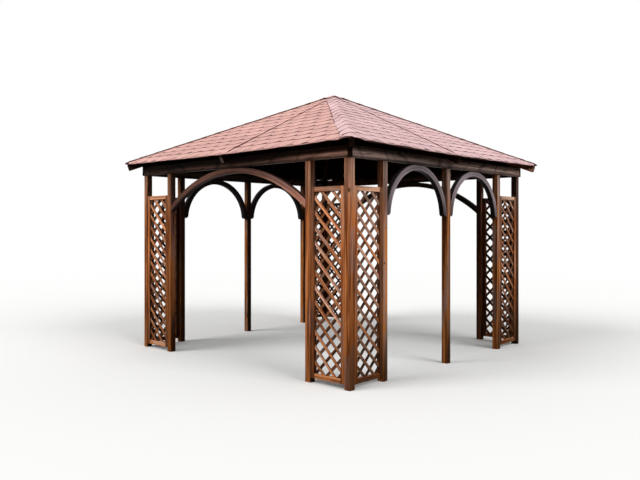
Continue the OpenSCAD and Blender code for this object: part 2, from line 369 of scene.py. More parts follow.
# %% The grain group
SEED_SHIFT = (3.71, 5.37, 9.13)       # how far apart in the trunk two seeds lie
STREAK_SIZE, PATCH_SIZE, PORE_SIZE = (1.1, 34, 34), (1.9, 12, 12), (16, 480, 480)
LATE_RELIEF, PORE_RELIEF, CRACK_RELIEF, KNOT_RELIEF = 0.35, 0.25, 1.5, 0.3


def make_grain():
    """The masks of a piece of wood, and how high its surface stands."""
    tree, bench, given, result = shader_group(
        "grain",
        {"Fibre": "Vector", "Pith": "Vector", "Seed": "Float", "Ring Width": "Float",
         "Knot Share": "Float", "Knot Radius": "Float"},
        {"Late Wood": "Float", "Streak": "Float", "Patch": "Float", "Pores": "Float",
         "Knot": "Float", "Crack": "Float", "Height": "Float"},
    )
    seed = given["Seed"]
    shift = bench.vector("MULTIPLY", bench.combine(seed, seed, seed), SEED_SHIFT)
    place = bench.vector("ADD", given["Fibre"], shift)
    knot, distance, size = scattered_knots(bench, given, place)
    late = year_rings(bench, given, place, distance, size)
    pores = bench.noise(place, PORE_SIZE, detail=1.0)
    crack = cracks(bench, place)
    raised = bench.math("MULTIPLY", late, LATE_RELIEF)
    raised = bench.math("MULTIPLY_ADD", pores, PORE_RELIEF, raised)
    relief = bench.math("SUBTRACT", raised, bench.math("MULTIPLY", crack, CRACK_RELIEF))
    masks = {
        "Late Wood": late, "Knot": knot, "Pores": pores, "Crack": crack,
        "Streak": bench.noise(place, STREAK_SIZE, detail=3.0, roughness=0.6),
        "Patch": bench.noise(place, PATCH_SIZE, detail=2.0),
        "Height": bench.math("MULTIPLY_ADD", knot, KNOT_RELIEF, relief),
    }
    for mask, socket in masks.items():
        bench.feed(result[mask], socket)
    return tree


GRAIN = make_grain()
print("grain group:", len(GRAIN.nodes), "nodes")

# %% [markdown]
# ## Wear and weather
#
# Five things change the stain from place to place. The planed edges rub pale. Towards the
# ground the wood stays damp, and the stain there is deep and saturated; on faces turned to the
# wet side the damp is fullest, and low on those faces it is partly painted shade. Just under
# the eave the wood stays dry and turns dusty and pale. Faces turned to the weather bleach, and
# faces that look inwards are darkened with painted shade, where the roof keeps the light from
# them. Each is a mask of its own, so any finish can use it.

# %% Groups for rubbed edges and for weather
WEAR_REACH = 0.014                    # how far at most an edge is rubbed
RAGGED_LINE = 0.16                    # how unevenly damp and dust end
DUST_BEGINS, DUST_FULL = 0.55, 0.15   # how far below the eave
LEE_SHARE = 0.25                      # share of the weather on the side away from it


def make_rubbed_edges():
    """Wear: 1 along the long edges of a member, fading inwards over an uneven distance."""
    tree, bench, given, result = shader_group(
        "rubbed edges",
        {"Fibre": "Vector", "Half Width": "Float", "Half Depth": "Float"},
        {"Wear": "Float"},
    )
    size = bench.axes(bench.vector("ABSOLUTE", given["Fibre"]))
    from_side = bench.math("SUBTRACT", given["Half Width"], size["Y"])
    from_face = bench.math("SUBTRACT", given["Half Depth"], size["Z"])
    from_edge = bench.math("MAXIMUM", from_side, from_face)
    patchy = bench.noise(given["Fibre"], (9, 30, 30), detail=2.0)
    reach = bench.math("MULTIPLY", patchy, WEAR_REACH)
    bench.feed(result["Wear"], bench.ramp(from_edge, 0.001, reach, 1.0, 0.0))
    return tree


def make_weather():
    """Masks of what ground, eave, rain and shelter do to a place, and painted shade on inward faces."""
    tree, bench, given, result = shader_group(
        "weather",
        {"Position": "Vector", "Normal": "Vector", "Wet Side": "Vector", "Ground": "Float",
         "Shelter": "Float", "Wall": "Float"},
        {"Damp": "Float", "Dusty": "Float", "Painted Inner Shade": "Float", "Bleached": "Float"},
    )
    place, normal = bench.axes(given["Position"]), bench.axes(given["Normal"])
    # Painted shade: faces inside the walls that look inwards are marked, and the stain darkens them.
    inner = []
    for axis in ("X", "Y"):
        inwards = bench.math("MULTIPLY", normal[axis], bench.math("SIGN", place[axis]))
        in_wall = bench.math("GREATER_THAN", bench.math("ABSOLUTE", place[axis]), given["Wall"])
        inner.append(bench.math("MULTIPLY", bench.ramp(inwards, -0.9, -0.3, 1.0, 0.0), in_wall))
    bench.feed(result["Painted Inner Shade"], bench.math("MAXIMUM", *inner))

    # Damp climbs from the ground and dust comes down from the eave, both to a ragged line.
    ragged = bench.noise(given["Position"], (14, 14, 5), detail=3.0)
    ragged = bench.math("SUBTRACT", ragged, 0.5)
    height = bench.math("MULTIPLY_ADD", ragged, RAGGED_LINE, place["Z"])
    # Faces turned to the wet side get the full damp and dust; low on those faces the damp is partly
    # painted shade.
    facing = bench.vector("DOT_PRODUCT", given["Normal"], given["Wet Side"])
    share = bench.ramp(facing, -0.6, 0.8, LEE_SHARE, 1.0)
    bench.feed(result["Bleached"], bench.ramp(facing, 0.1, 0.8))
    soaked = bench.ramp(height, 0.0, given["Ground"], 1.0, 0.0)
    bench.feed(result["Damp"], bench.math("MULTIPLY", soaked, share))
    start = bench.math("SUBTRACT", given["Shelter"], DUST_BEGINS)
    end = bench.math("SUBTRACT", given["Shelter"], DUST_FULL)
    bench.feed(result["Dusty"], bench.math("MULTIPLY", bench.ramp(height, start, end), share))
    return tree


RUBBED_EDGES = make_rubbed_edges()
WEATHER_AND_SHADE = make_weather()
print("masks:", RUBBED_EDGES.name, "and", WEATHER_AND_SHADE.name)

# %% [markdown]
# ## Stain
#
# The timber is brushed with a translucent orange-brown stain. It comes out darker along streaks
# of the fibre and in the late wood of each ring, pools round knots, and is thinner on one stretch
# of a board than on the next, where the wood shows a purple-brown through it. Cracks are painted
# black as the shade in them. The group mixes four shades of the same stain by all these masks, so
# a finish is only those four colours and a few numbers.

# %% The stain group
# Black that is painted shade in cracks, and also the resin of knots
CRACK_SHADE_AND_RESIN = (0.012, 0.006, 0.004, 1)
SOAKED = (0.18, 0.15, 0.08, 1)        # what is left of each colour where the wood is soaked
PAINTED_INNER_SHADE = 0.35                    # what is left of the light on faces that look inwards
# How strongly each mask shows
LATE_SHARE, STREAK_SHARE, THIN_SHARE, DUST_SHARE = 0.22, 0.85, 0.8, 0.75
WEAR_SHARE, RESIN_SHARE, KNOT_SHARE, CRACK_SHARE = 0.4, 0.75, 0.85, 0.9
GRAIN_MASKS = ("Late Wood", "Streak", "Patch", "Pores", "Knot", "Crack")
WEATHER_MASKS = ("Damp", "Dusty", "Painted Inner Shade", "Bleached")


def make_stain():
    """Colour and roughness of stained wood, from four shades and all the masks."""
    masks = {mask: "Float" for mask in (*GRAIN_MASKS, "Wear", *WEATHER_MASKS, "Tone")}
    tree, bench, given, result = shader_group(
        "stain",
        {"Pale": "Color", "Deep": "Color", "Faded": "Color", "Dust": "Color", **masks},
        {"Color": "Color", "Roughness": "Float"},
    )
    # Streaks along the fibre drink more stain than the rest, and late wood a little more.
    depth = bench.ramp(given["Streak"], 0.40, 0.60, 0.0, STREAK_SHARE)
    depth = bench.math("MULTIPLY_ADD", given["Late Wood"], LATE_SHARE, depth)
    colour = bench.mix(depth, given["Pale"], given["Deep"])

    # Where the coat is thin the wood has faded, most of all on the side that sees the sun.
    faded = bench.shade(given["Faded"], bench.math("MULTIPLY_ADD", depth, -0.75, 1.2))
    patch = bench.math("MULTIPLY_ADD", given["Bleached"], 0.09, given["Patch"])
    thin = bench.ramp(patch, 0.53, 0.62, 0.0, THIN_SHARE)
    colour = bench.mix(thin, colour, faded)
    dust = bench.shade(given["Dust"], bench.math("MULTIPLY_ADD", depth, -0.6, 1.1))
    colour = bench.mix(bench.math("MULTIPLY", given["Dusty"], DUST_SHARE), colour, dust)

    # Pores are fine dark flecks. Rubbed edges are pale again, and damp soaks what lies low.
    colour = bench.shade(colour, bench.math("MULTIPLY_ADD", given["Pores"], 0.4, 0.8))
    colour = bench.mix(bench.math("MULTIPLY", given["Wear"], WEAR_SHARE), colour, given["Pale"])
    soaked = bench.mix(1.0, colour, SOAKED, "MULTIPLY")
    colour = bench.mix(given["Damp"], colour, soaked)

    # Knots are dark with resin, and cracks are painted black as shade.
    resin = bench.mix(RESIN_SHARE, given["Deep"], CRACK_SHADE_AND_RESIN)
    colour = bench.mix(bench.math("MULTIPLY", given["Knot"], KNOT_SHARE), colour, resin)
    colour = bench.mix(bench.math("MULTIPLY", given["Crack"], CRACK_SHARE), colour, CRACK_SHADE_AND_RESIN)
    # Painted shade on faces that look inwards scales the colour, together with the member's tone.
    shade = bench.math("MULTIPLY_ADD", given["Painted Inner Shade"], PAINTED_INNER_SHADE - 1, 1.0)
    bench.feed(result["Color"], bench.shade(colour, bench.math("MULTIPLY", shade, given["Tone"])))
    matt = bench.math("MULTIPLY_ADD", given["Streak"], 0.2, 0.45)
    bench.feed(result["Roughness"], bench.math("MULTIPLY_ADD", thin, 0.2, matt))
    return tree


STAIN = make_stain()
print("stain group:", len(STAIN.nodes), "nodes")

# %% [markdown]
# ## One material for each member
#
# All timber shares the groups above, but the pieces differ: posts are bright where rain and sun
# reach them, beams and arches under the eave are browner, and the roof timbers are painted nearly
# black as the shade under the roof. Each member gets a material of its own, because its middle,
# its fibre direction and its piece of the tree are its own. That costs nothing: the pattern lives
# in shared groups.

# %% Finishes: shades of stain, and what the wood is like
# Each finish: pale, deep, faded and dusty shade, share of cells with a knot, largest knot, rings, gloss
FINISHES = {
    "post_wood": (
        (0.83, 0.285, 0.085, 1), (0.17, 0.042, 0.014, 1),
        (0.50, 0.245, 0.175, 1), (0.64, 0.39, 0.29, 1),
        0.42, 0.016, 0.0060, 0.03),
    "post_side": (
        (0.76, 0.275, 0.075, 1), (0.16, 0.040, 0.012, 1),
        (0.43, 0.260, 0.205, 1), (0.48, 0.365, 0.325, 1),
        0.60, 0.018, 0.0060, 0.03),
    "trellis_wood": (
        (0.98, 0.400, 0.170, 1), (0.30, 0.080, 0.026, 1),
        (0.80, 0.450, 0.320, 1), (0.64, 0.44, 0.33, 1),
        0.25, 0.010, 0.0045, 0.05),
    "stile_wood": (
        (0.90, 0.310, 0.095, 1), (0.24, 0.055, 0.016, 1),
        (0.62, 0.270, 0.150, 1), (0.60, 0.34, 0.22, 1),
        0.25, 0.010, 0.0045, 0.05),
    "beam_front": (
        (0.84, 0.400, 0.270, 1), (0.220, 0.085, 0.052, 1),
        (0.66, 0.430, 0.370, 1), (0.54, 0.35, 0.28, 1),
        0.75, 0.026, 0.0070, 0.03),
    "beam_side": (
        (0.70, 0.360, 0.285, 1), (0.200, 0.100, 0.078, 1),
        (0.62, 0.425, 0.390, 1), (0.55, 0.41, 0.365, 1),
        0.75, 0.026, 0.0070, 0.03),
    "arch_front": (
        (0.36, 0.140, 0.085, 1), (0.100, 0.040, 0.028, 1),
        (0.30, 0.150, 0.130, 1), (0.34, 0.19, 0.15, 1),
        0.12, 0.010, 0.0060, 0.05),
    "arch_side": (
        (0.30, 0.220, 0.215, 1), (0.100, 0.068, 0.066, 1),
        (0.28, 0.230, 0.244, 1), (0.29, 0.24, 0.26, 1),
        0.10, 0.010, 0.0060, 0.05),
    # Rafters and roof boards: nearly black, which is painted shade under the roof
    "rafter_wood": (
        (0.086, 0.034, 0.019, 1), (0.030, 0.011, 0.007, 1),
        (0.070, 0.033, 0.023, 1), (0.055, 0.028, 0.018, 1),
        0.40, 0.014, 0.0060, 0.0),
    "deck_wood": (
        (0.034, 0.016, 0.010, 1), (0.012, 0.005, 0.003, 1),
        (0.026, 0.015, 0.011, 1), (0.02, 0.012, 0.01, 1),
        0.50, 0.014, 0.0050, 0.0),
}
print("finishes:", ", ".join(FINISHES))

# %% [markdown]
# ## From finish to material
#
# A material's own tree stays short: it holds the Principled shader, and the shared groups that
# feed it. Roughness and colour come from the stain. The grain only lifts the surface a little
# through a bump node: brushed stain lets one feel late wood, knots and cracks under the finger.
# The sawn end of a member takes no stain worth seeing, so it has two greyer shades of its own.

# %% An empty material, and a shared group placed in it
def new_material(name):
    """An empty material. Returns it, a Bench on its tree, and its Principled shader's inputs."""
    material = bpy.data.materials.new(name)
    material.use_nodes = True
    material.node_tree.nodes.clear()
    bench = Bench(material.node_tree)
    shader = bench.node("ShaderNodeBsdfPrincipled")
    bench.node("ShaderNodeOutputMaterial", {"Surface": shader.outputs[0]})
    return material, bench, shader.inputs


def placed_group(bench, tree, inputs):
    """A node that holds a shared group. Returns its outputs."""
    made = bench.node("ShaderNodeGroup", node_tree=tree)
    for key, value in inputs.items():
        bench.feed(made.inputs[key], value)
    return made.outputs


print("shared groups:", ", ".join(tree.name for tree in bpy.data.node_groups))

# %% A stained timber material
DAMP_HEIGHT = 1.25                    # how high damp climbs in a post
WET_SIDE = (1, 0, 0)                  # where wind drives the rain from; low on faces turned to it the damp is partly painted shade
WET_SIDES = {"post_side": (1, 0.6, 0)}
CUT_END_PALE = (0.22, 0.18, 0.155, 1)
CUT_END_DEEP = (0.12, 0.090, 0.070, 1)
CRACKED_END = 0.25                    # what a crack leaves of the light on a cut end


def cut_end(bench, grain):
    """Colour of a sawn end that has weathered without stain."""
    rings = bench.mix(grain["Late Wood"], CUT_END_PALE, CUT_END_DEEP)
    return bench.shade(rings, bench.ramp(grain["Crack"], 0.0, 1.0, 1.0, CRACKED_END))


def timber(
    name, finish, fibre, pith=(0, 0, 0), seed=0.0, half=None, tone=1.0, cut_at=None, damp=DAMP_HEIGHT
):
    """A stained timber material. fibre(bench, position) gives the socket with fibre coordinates."""
    pale, deep, faded, dust, knot_share, knot_radius, ring_width, gloss = FINISHES[finish]
    material, bench, shader = new_material(name)
    places = bench.node("ShaderNodeTexCoord").outputs
    position = places["Object"]
    along = fibre(bench, position)
    grain = placed_group(bench, GRAIN, {
        "Fibre": along, "Pith": pith, "Seed": seed, "Knot Share": knot_share,
        "Knot Radius": knot_radius, "Ring Width": ring_width,
    })
    weather = placed_group(bench, WEATHER_AND_SHADE, {
        "Position": position, "Normal": places["Normal"],
        "Wet Side": WET_SIDES.get(finish, WET_SIDE), "Ground": damp,
        "Shelter": post_h, "Wall": wall_inside,
    })
    wear = 0.0
    if half:
        wear = placed_group(bench, RUBBED_EDGES, {
            "Fibre": along, "Half Width": half[0], "Half Depth": half[1],
        })["Wear"]
    stain = placed_group(bench, STAIN, {
        "Pale": pale, "Deep": deep, "Faded": faded, "Dust": dust, "Wear": wear,
        "Tone": tone(bench, along) if callable(tone) else tone,
        **{mask: grain[mask] for mask in GRAIN_MASKS},
        **{mask: weather[mask] for mask in WEATHER_MASKS},
    })
    colour = stain["Color"]
    if cut_at:
        cut = bench.ramp(bench.axes(along)["X"], cut_at - 0.002, cut_at - 0.001)
        colour = bench.mix(cut, colour, cut_end(bench, grain))
    bench.feed(shader["Base Color"], colour)
    bench.feed(shader["Roughness"], stain["Roughness"])
    relief = {"Height": grain["Height"], "Distance": 0.0012, "Strength": 0.7}
    bench.feed(shader["Normal"], bench.node("ShaderNodeBump", relief).outputs[0])
    shader["Specular IOR Level"].default_value = gloss
    return material


print("timber ready: damp climbs", DAMP_HEIGHT, "m, and rain comes from", WET_SIDE)

# %% Fibre coordinates of straight, bent and stored members
def straight(centre, along, across):
    """Fibre coordinates of a straight member, for timber()."""
    def fibre(bench, position):
        return placed_group(bench, STRAIGHT_FIBRE, {
            "Position": position, "Centre": centre, "Along": along, "Across": across,
        })["Fibre"]
    return fibre


def bent(centre, across, radius):
    """Fibre coordinates of a bent arch, for timber()."""
    def fibre(bench, position):
        return placed_group(bench, BENT_FIBRE, {
            "Position": position, "Centre": centre, "Across": across, "Radius": radius,
        })["Fibre"]
    return fibre


def stored(bench, _position):
    """Fibre coordinates that were stored on the mesh of a piece made in this script."""
    return bench.node("ShaderNodeAttribute", attribute_name="fibre").outputs["Vector"]


def stored_tone(bench, _along=None):
    """Tone that was stored on the mesh of such a piece."""
    return bench.node("ShaderNodeAttribute", attribute_name="tone").outputs["Fac"]


print("fibre coordinates:", ", ".join(kind.__name__ for kind in (straight, bent, stored)))

# %% [markdown]
# ## Finish of the frame
#
# The CAD pieces keep their own meshes. They only swap the grey material of the packed model for
# timber. A post's fibre runs upright, a beam's along its side and a rafter's down its slope, and
# the pith of each trunk is thrown a little off the member with a seeded random draw.

# %% Putting timber on a CAD piece
UP = Vector((0, 0, 1))
EVEN_TONES = (0.88, 1.12)             # how much one member differs from another by chance
draw = random.Random(1846)


def random_pith():
    """A pith beside the member, as in timber sawn from the side of a trunk."""
    angle = draw.uniform(0, math.tau)
    distance = draw.uniform(0.02, 0.09)
    return (0.0, distance * math.cos(angle), distance * math.sin(angle))


def dress(node, finish, fibre, half=None, cut_at=None, shade=1.0, damp=DAMP_HEIGHT):
    """Gives a CAD piece its timber. shade is a number, or a tone that varies over the piece."""
    tone = shade if callable(shade) else shade * draw.uniform(*EVEN_TONES)
    seed = draw.uniform(0, 10)
    name = f"{node}_{finish}"
    material = timber(name, finish, fibre, random_pith(), seed, half, tone, cut_at, damp)
    nodes[node].material_slots[0].material = material


def middle(node):
    """The middle of a CAD node's box."""
    low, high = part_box(node)
    return (low + high) / 2


print("the middle of the front beam is at", tuple(round(v, 3) for v in middle("beam_front")))

# %% [markdown]
# ## Posts
#
# Each post is planed from another trunk and drank its own share of stain, so some stand out
# darker or paler; these tones are partly painted light and shade, darker where a post stands deep
# under the roof. In two of them the damp has climbed to another height than in the rest. The
# near corner post has one big knot that was cut through on its edge: the noise of the grain
# can't be told where to put a knot, so this one is a dark spot in the tone of the member. Posts
# on the right and left get the finish of the weather side, which is greyer.

# %% Materials on the posts
# Tones of single posts: partly stain, partly painted light and shade
POST_TONES_AND_PAINTED_LIGHT = {
    "flank_post_front_a": 0.74, "corner_post_back_right": 0.25, "flank_post_right_b": 1.3,
    "flank_post_right_a": 1.17, "mid_post_right": 0.88, "corner_post_front_right": 1.05,
}
WET_POSTS = {"corner_post_front_right": 1.9, "flank_post_right_a": 0.9}
# A big knot on the edge of one post: height over its middle, and across
EDGE_KNOTS = {"corner_post_front_right": (0.752, 0.022, -0.035)}
KNOT_SHAPE = (0.7, 1, 1)              # a knot on a face is longer along the fibre
KNOT_CORE, KNOT_RIM = 0.006, 0.022
KNOT_TONE = 0.22


def knotted(base, spot):
    """Tone of a member that is dark round one spot, given in fibre coordinates."""
    def tone(bench, along):
        offset = bench.vector("MULTIPLY", bench.vector("SUBTRACT", along, spot), KNOT_SHAPE)
        distance = bench.vector("LENGTH", offset)
        return bench.ramp(distance, KNOT_CORE, KNOT_RIM, base * KNOT_TONE, base)
    return tone


posts = [node for node in sorted(nodes) if "_post_" in node]
for node in posts:
    grain = straight(middle(node), UP, (1, 0, 0))
    at_side = node.split("_post_")[1].split("_")[0] in ("right", "left")
    finish = "post_side" if at_side else "post_wood"
    shade = POST_TONES_AND_PAINTED_LIGHT.get(node, 1.0)
    if node in EDGE_KNOTS:
        shade = knotted(shade * draw.uniform(*EVEN_TONES), EDGE_KNOTS[node])
    damp = WET_POSTS.get(node, DAMP_HEIGHT)
    dress(node, finish, grain, (post_w / 2, post_w / 2), shade=shade, damp=damp)
print("posts dressed:", len(posts))

# %% [markdown]
# ## Beams
#
# A beam sits right under the eave, so its upper half lies in a deep shade that no lamp draws
# sharply enough, and that shade is painted into its tone. Rain drips from the shingles and runs
# down the beam in streaks at uneven distances. Its lower edge is painted dark as shade, and along
# its length it is painted paler towards one end and darker elsewhere, as light and shade. Each of
# these is a ramp over the fibre coordinates, and the tone is their product. The streaks are noise
# that hardly changes across the fibre.

# %% Materials on the beams
PAINTED_LIT_TONE, PAINTED_EAVE_SHADE = 1.3, 0.15           # painted tones below and above the line of the eave's shade
PAINTED_LOWER_EDGE_SHADE = 0.18                       # tone of the painted shade along the lower edge
FIRST_END = (-1.75, -0.9)             # where along a beam its first end turns into the rest
PAINTED_SHADE_TILT, LOWER_EDGE_SHADE_TILT = 0.006, 0.0025  # the painted shade of the eave and of the lower edge run a little uphill
RUN_WIDTHS, RUN_SPACING = (7, 2.5, 2.5), (1.3, 3.0, 3.0)
RUN_FROM, RUN_FULL = 0.50, 0.72       # where in the noise a streak begins, and where it is full
RUN_TONE = 0.42
# Of each beam, all painted light and shade: tone at both ends, where along it the tone changes,
# how much paler its first end is, how low the shade of the eave reaches, and how high the shade
# along its lower edge reaches
BEAM_PAINTED_LIGHT_AND_SHADE = {
    "front": ((0.32, 1.85), (0.3, 1.7), 1.0, (-0.042, 0.020), (-0.049, -0.023)),
    "right": ((0.76, 1.62), (-0.7, 1.0), 2.35, (0.005, 0.052), (-0.040, -0.013)),
    "back": ((0.9, 0.9), (-1.0, 1.0), 1.0, (-0.01, 0.04), (-0.046, -0.020)),
    "left": ((0.9, 0.9), (-1.0, 1.0), 1.0, (-0.01, 0.04), (-0.046, -0.020)),
}


def water_runs(bench, along):
    """Tone of a beam with streaks of water that ran down from the eave."""
    shift = bench.combine(bench.noise(along, RUN_SPACING), 0.0, 0.0)
    runs = bench.noise(bench.vector("ADD", along, shift), RUN_WIDTHS, detail=1.0)
    return bench.ramp(runs, RUN_FROM, RUN_FULL, 1.0, RUN_TONE)


def beam_painted_light_and_shade(base, ends, fades, near, shade, lower_edge_shade_range):
    """Tone of a beam: painted shade under the eave and along its lower edge, painted light at its ends.
    """
    def tone(bench, along):
        place = bench.axes(along)
        level = bench.math("MULTIPLY_ADD", place["X"], -PAINTED_SHADE_TILT, place["Y"])
        # Painted shade under the eave, and painted shade along the lower edge
        upper = bench.ramp(level, *shade, PAINTED_LIT_TONE, PAINTED_EAVE_SHADE)
        level = bench.math("MULTIPLY_ADD", place["X"], -LOWER_EDGE_SHADE_TILT, place["Y"])
        painted_lower_edge = bench.ramp(level, *lower_edge_shade_range, PAINTED_LOWER_EDGE_SHADE, 1.0)
        # Painted light and shade along the beam and at its first end
        length = bench.ramp(place["X"], *fades, *ends)
        corner = bench.ramp(place["X"], *FIRST_END, near * base, base)
        weathered = bench.math("MULTIPLY", upper, painted_lower_edge)
        weathered = bench.math("MULTIPLY", weathered, water_runs(bench, along))
        return bench.math("MULTIPLY", weathered, bench.math("MULTIPLY", length, corner))
    return tone


beam_low, beam_high = side_box("beam_front")
half_beam = ((beam_high.z - beam_low.z) / 2, (beam_high.y - beam_low.y) / 2)
for side, name in enumerate(SIDES):
    node = f"beam_{name}"
    grain = straight(middle(node), turned(side, 1, 0, 0), UP)
    finish = "beam_side" if side % 2 else "beam_front"
    shade = beam_painted_light_and_shade(draw.uniform(0.95, 1.05), *BEAM_PAINTED_LIGHT_AND_SHADE[name])
    dress(node, finish, grain, half_beam, shade=shade)
print(f"beams dressed: {2000 * half_beam[0]:.0f} mm high, {2000 * half_beam[1]:.0f} mm thick")

# %% [markdown]
# ## Arches
#
# A bent arch is glued from thin boards over a form, so its fibre follows the curve. Its circle
# isn't in the packed record, but three points give it: the crown, and the two places where the
# outer edge meets the uprights. With half the width w and the rise r of that arc, the radius is
# (w² + r²) / 2r. The curved edges are painted nearly black beside the flat faces, as shade. The
# normal tells the two apart: on a flat face it points out of the wall, and on an edge it lies in
# the wall. Towards each foot an arch gets a tone of its own: painted light and shade.

# %% Arches: the circle of each, measured on its own mesh
def arch_circle(node, across):
    """Centre and radius of the outer edge of an arch that stands upright across that direction."""
    centre = middle(node)
    points = [v.co for v in nodes[node].data.vertices]
    reach = max(abs((p - centre).dot(across)) for p in points)
    crown = max(p.z for p in points)
    foot = max(p.z for p in points if abs((p - centre).dot(across)) > reach - 0.001)
    rise = crown - foot
    radius = (reach ** 2 + rise ** 2) / (2 * rise)
    return Vector((centre.x, centre.y, crown - radius)), radius


_, front_radius = arch_circle("wide_arch_front", turned(0, 1, 0, 0))
print(f"the front arch has a radius of {front_radius:.3f} m")

# %% Materials on the arches
ARCH_MIDDLE = 0.03                    # from the outer edge of an arch to its middle line
PAINTED_ARCH_EDGE_SHADE = 0.13                      # tone of the curved edges, which is painted shade
EDGE_FACING = (0.3, 0.8)              # how squarely a surface faces outwards: edge, and face
# Of each arch, as painted light and shade: tone, where along it the tone changes, and what its two feet
# have of it
ARCH_PAINTED_LIGHT_AND_SHADE = {
    "wide_arch_front": (0.72, 0.2, 1.1, 0.85, 2.9),
    "wide_arch_back": (0.72, 0.2, 1.1, 1.0, 1.0),
    "round_arch_right_a": (1.38, 0.50, 0.76, 0.5, 0.36),
    "round_arch_right_b": (1.5, 0.50, 0.76, 0.36, 0.4),
    "round_arch_left_a": (1.1, 0.50, 0.76, 0.4, 0.4),
    "round_arch_left_b": (1.1, 0.50, 0.76, 0.4, 0.4),
}


def arch_painted_light_and_shade(outward, base, start, end, first_foot, last_foot):
    """Tone of an arch: painted shade on its curved edges, and painted light and shade towards each
    foot.
    """
    def tone(bench, along):
        normal = bench.node("ShaderNodeTexCoord").outputs["Normal"]
        facing = bench.math("ABSOLUTE", bench.vector("DOT_PRODUCT", normal, outward))
        # Painted shade on the curved edges
        edge = bench.ramp(facing, *EDGE_FACING, PAINTED_ARCH_EDGE_SHADE, base)
        reach = bench.axes(along)["X"]
        # Painted light and shade towards each foot
        first = bench.ramp(reach, -end, -start, first_foot, 1.0)
        last = bench.ramp(reach, start, end, 1.0, last_foot)
        return bench.math("MULTIPLY", edge, bench.math("MULTIPLY", first, last))
    return tone


for node in sorted(ARCH_PAINTED_LIGHT_AND_SHADE):
    side = SIDES.index(node.split("_arch_")[1].split("_")[0])
    across = turned(side, 1, 0, 0)
    circle, radius = arch_circle(node, across)
    finish = "arch_side" if side % 2 else "arch_front"
    shade = arch_painted_light_and_shade(turned(side, 0, 1, 0), *ARCH_PAINTED_LIGHT_AND_SHADE[node])
    dress(node, finish, bent(circle, across, radius - ARCH_MIDDLE), shade=shade)
    print(f"{node}: radius {radius:.3f} m")

# %% [markdown]
# ## Rafters
#
# The rafters are of the same wood, but the roof keeps the sky from them, and their finish is
# painted very dark as that shade. Their fibre runs downhill: at the slope of a face for a common
# rafter, and at the flatter slope of the hip for a hip rafter. From outside only the tails show,
# close under the eave. The sawn end of the front one has weathered pale, and each hip is painted
# lighter or darker, as light and shade on its tail.

# %% Materials on the rafters and the king block
for side, name in enumerate(SIDES):
    downhill = turned(side, 0, math.cos(roof_slope), -math.sin(roof_slope))
    node = f"common_rafter_{name}"
    centre = middle(node)
    tail = max((v.co - centre).dot(downhill) for v in nodes[node].data.vertices)
    pale_end = tail if side == 0 else None
    dress(node, "rafter_wood", straight(centre, downhill, turned(side, 1, 0, 0)), cut_at=pale_end)

HIP_PAINTED_LIGHT_AND_SHADE = (0.4, 13.0, 1.2, 2.2)    # tone of the hip at each corner: painted light and shade on its tail
hip_slope = math.atan((apex_z - corner_z) / (eave * math.sqrt(2)))
for corner, name in enumerate(CORNERS):
    outward = turned(corner, 1, 1, 0).normalized()
    downhill = outward * math.cos(hip_slope) - UP * math.sin(hip_slope)
    node = f"hip_rafter_{name}"
    grain = straight(middle(node), downhill, outward.cross(UP))
    dress(node, "rafter_wood", grain, shade=HIP_PAINTED_LIGHT_AND_SHADE[corner])
dress("king_block", "rafter_wood", straight(middle("king_block"), UP, (1, 0, 0)))
print(f"rafters dressed; hips slope {math.degrees(hip_slope):.1f} degrees")

# %% [markdown]
# ## Cutting flat outlines
#
# Slats, boards and shingles are all flat stock cut to a convex outline: a strip clipped by a
# frame, a board clipped by a hip. So two tools make nearly everything: one cuts an outline along
# a straight line, and one moves all its edges inwards for a chamfer. Both work on plain 2-D
# points, where cutting is exact, and the thickness is added afterwards.

# %% Tools for convex outlines
def split(outline, direction, offset):
    """Cuts a convex outline along a line: where direction . point <= offset, and the rest."""
    kept, rest = [], []
    for a, b in zip(outline, outline[1:] + outline[:1]):
        beyond_a = a.dot(direction) - offset
        beyond_b = b.dot(direction) - offset
        if beyond_a <= 0:
            kept.append(a)
        if beyond_a >= 0:
            rest.append(a)
        if beyond_a * beyond_b < 0:
            crossing = a.lerp(b, beyond_a / (beyond_a - beyond_b))
            kept.append(crossing)
            rest.append(crossing)
    return solid_outline(kept), solid_outline(rest)


def solid_outline(outline, least=1e-6):
    """The outline without doubled points, or an empty list where nothing is left of it."""
    points = [a for a, b in zip(outline, outline[1:] + outline[:1]) if (b - a).length > least]
    return points if len(points) > 2 and abs(area(points)) > least else []


def area(outline):
    """The area of an outline, positive if its points run anticlockwise."""
    return sum(a.cross(b) for a, b in zip(outline, outline[1:] + outline[:1])) / 2


def shrink(outline, margin):
    """A convex outline, listed anticlockwise, with every edge moved inwards."""
    moved = []
    for a, b in zip(outline, outline[1:] + outline[:1]):
        along = (b - a).normalized()
        moved.append((a + along.orthogonal() * margin, along))
    corners = []
    for (p, u), (q, v) in zip(moved[-1:] + moved[:-1], moved):
        turn = u.cross(v)
        corners.append(p + u * ((q - p).cross(v) / turn) if abs(turn) > 1e-4 else q)
    return corners


def rectangle(x0, y0, x1, y1):
    """The outline of a rectangle from its lowest to its highest corner."""
    return [Vector((x0, y0)), Vector((x1, y0)), Vector((x1, y1)), Vector((x0, y1))]


unit = rectangle(0, 0, 1, 1)
print("areas:", area(unit), area(split(unit, Vector((1, 1)), 1)[0]), round(area(shrink(unit, 0.1)), 3))

# %% [markdown]
# ## Stock: many members in one mesh
#
# A trellis panel has some forty slats and a roof face over a hundred shingles. As separate
# objects they would be slow and tedious, so each panel is gathered as `Stock` and becomes one
# mesh of closed solids. Every corner also stores its fibre coordinates and every member its own
# tone, which the timber material reads back.

# %% Faces of a closed solid
def joined_rings(count, rings):
    """Faces of a closed solid of several rings of points: a cap at each end, and walls between."""
    last = count * (rings - 1)
    faces = [list(range(count))[::-1], list(range(last, last + count))]
    for base in range(0, last, count):
        for i in range(count):
            a, b = base + i, base + (i + 1) % count
            faces.append([a, b, b + count, a + count])
    return faces


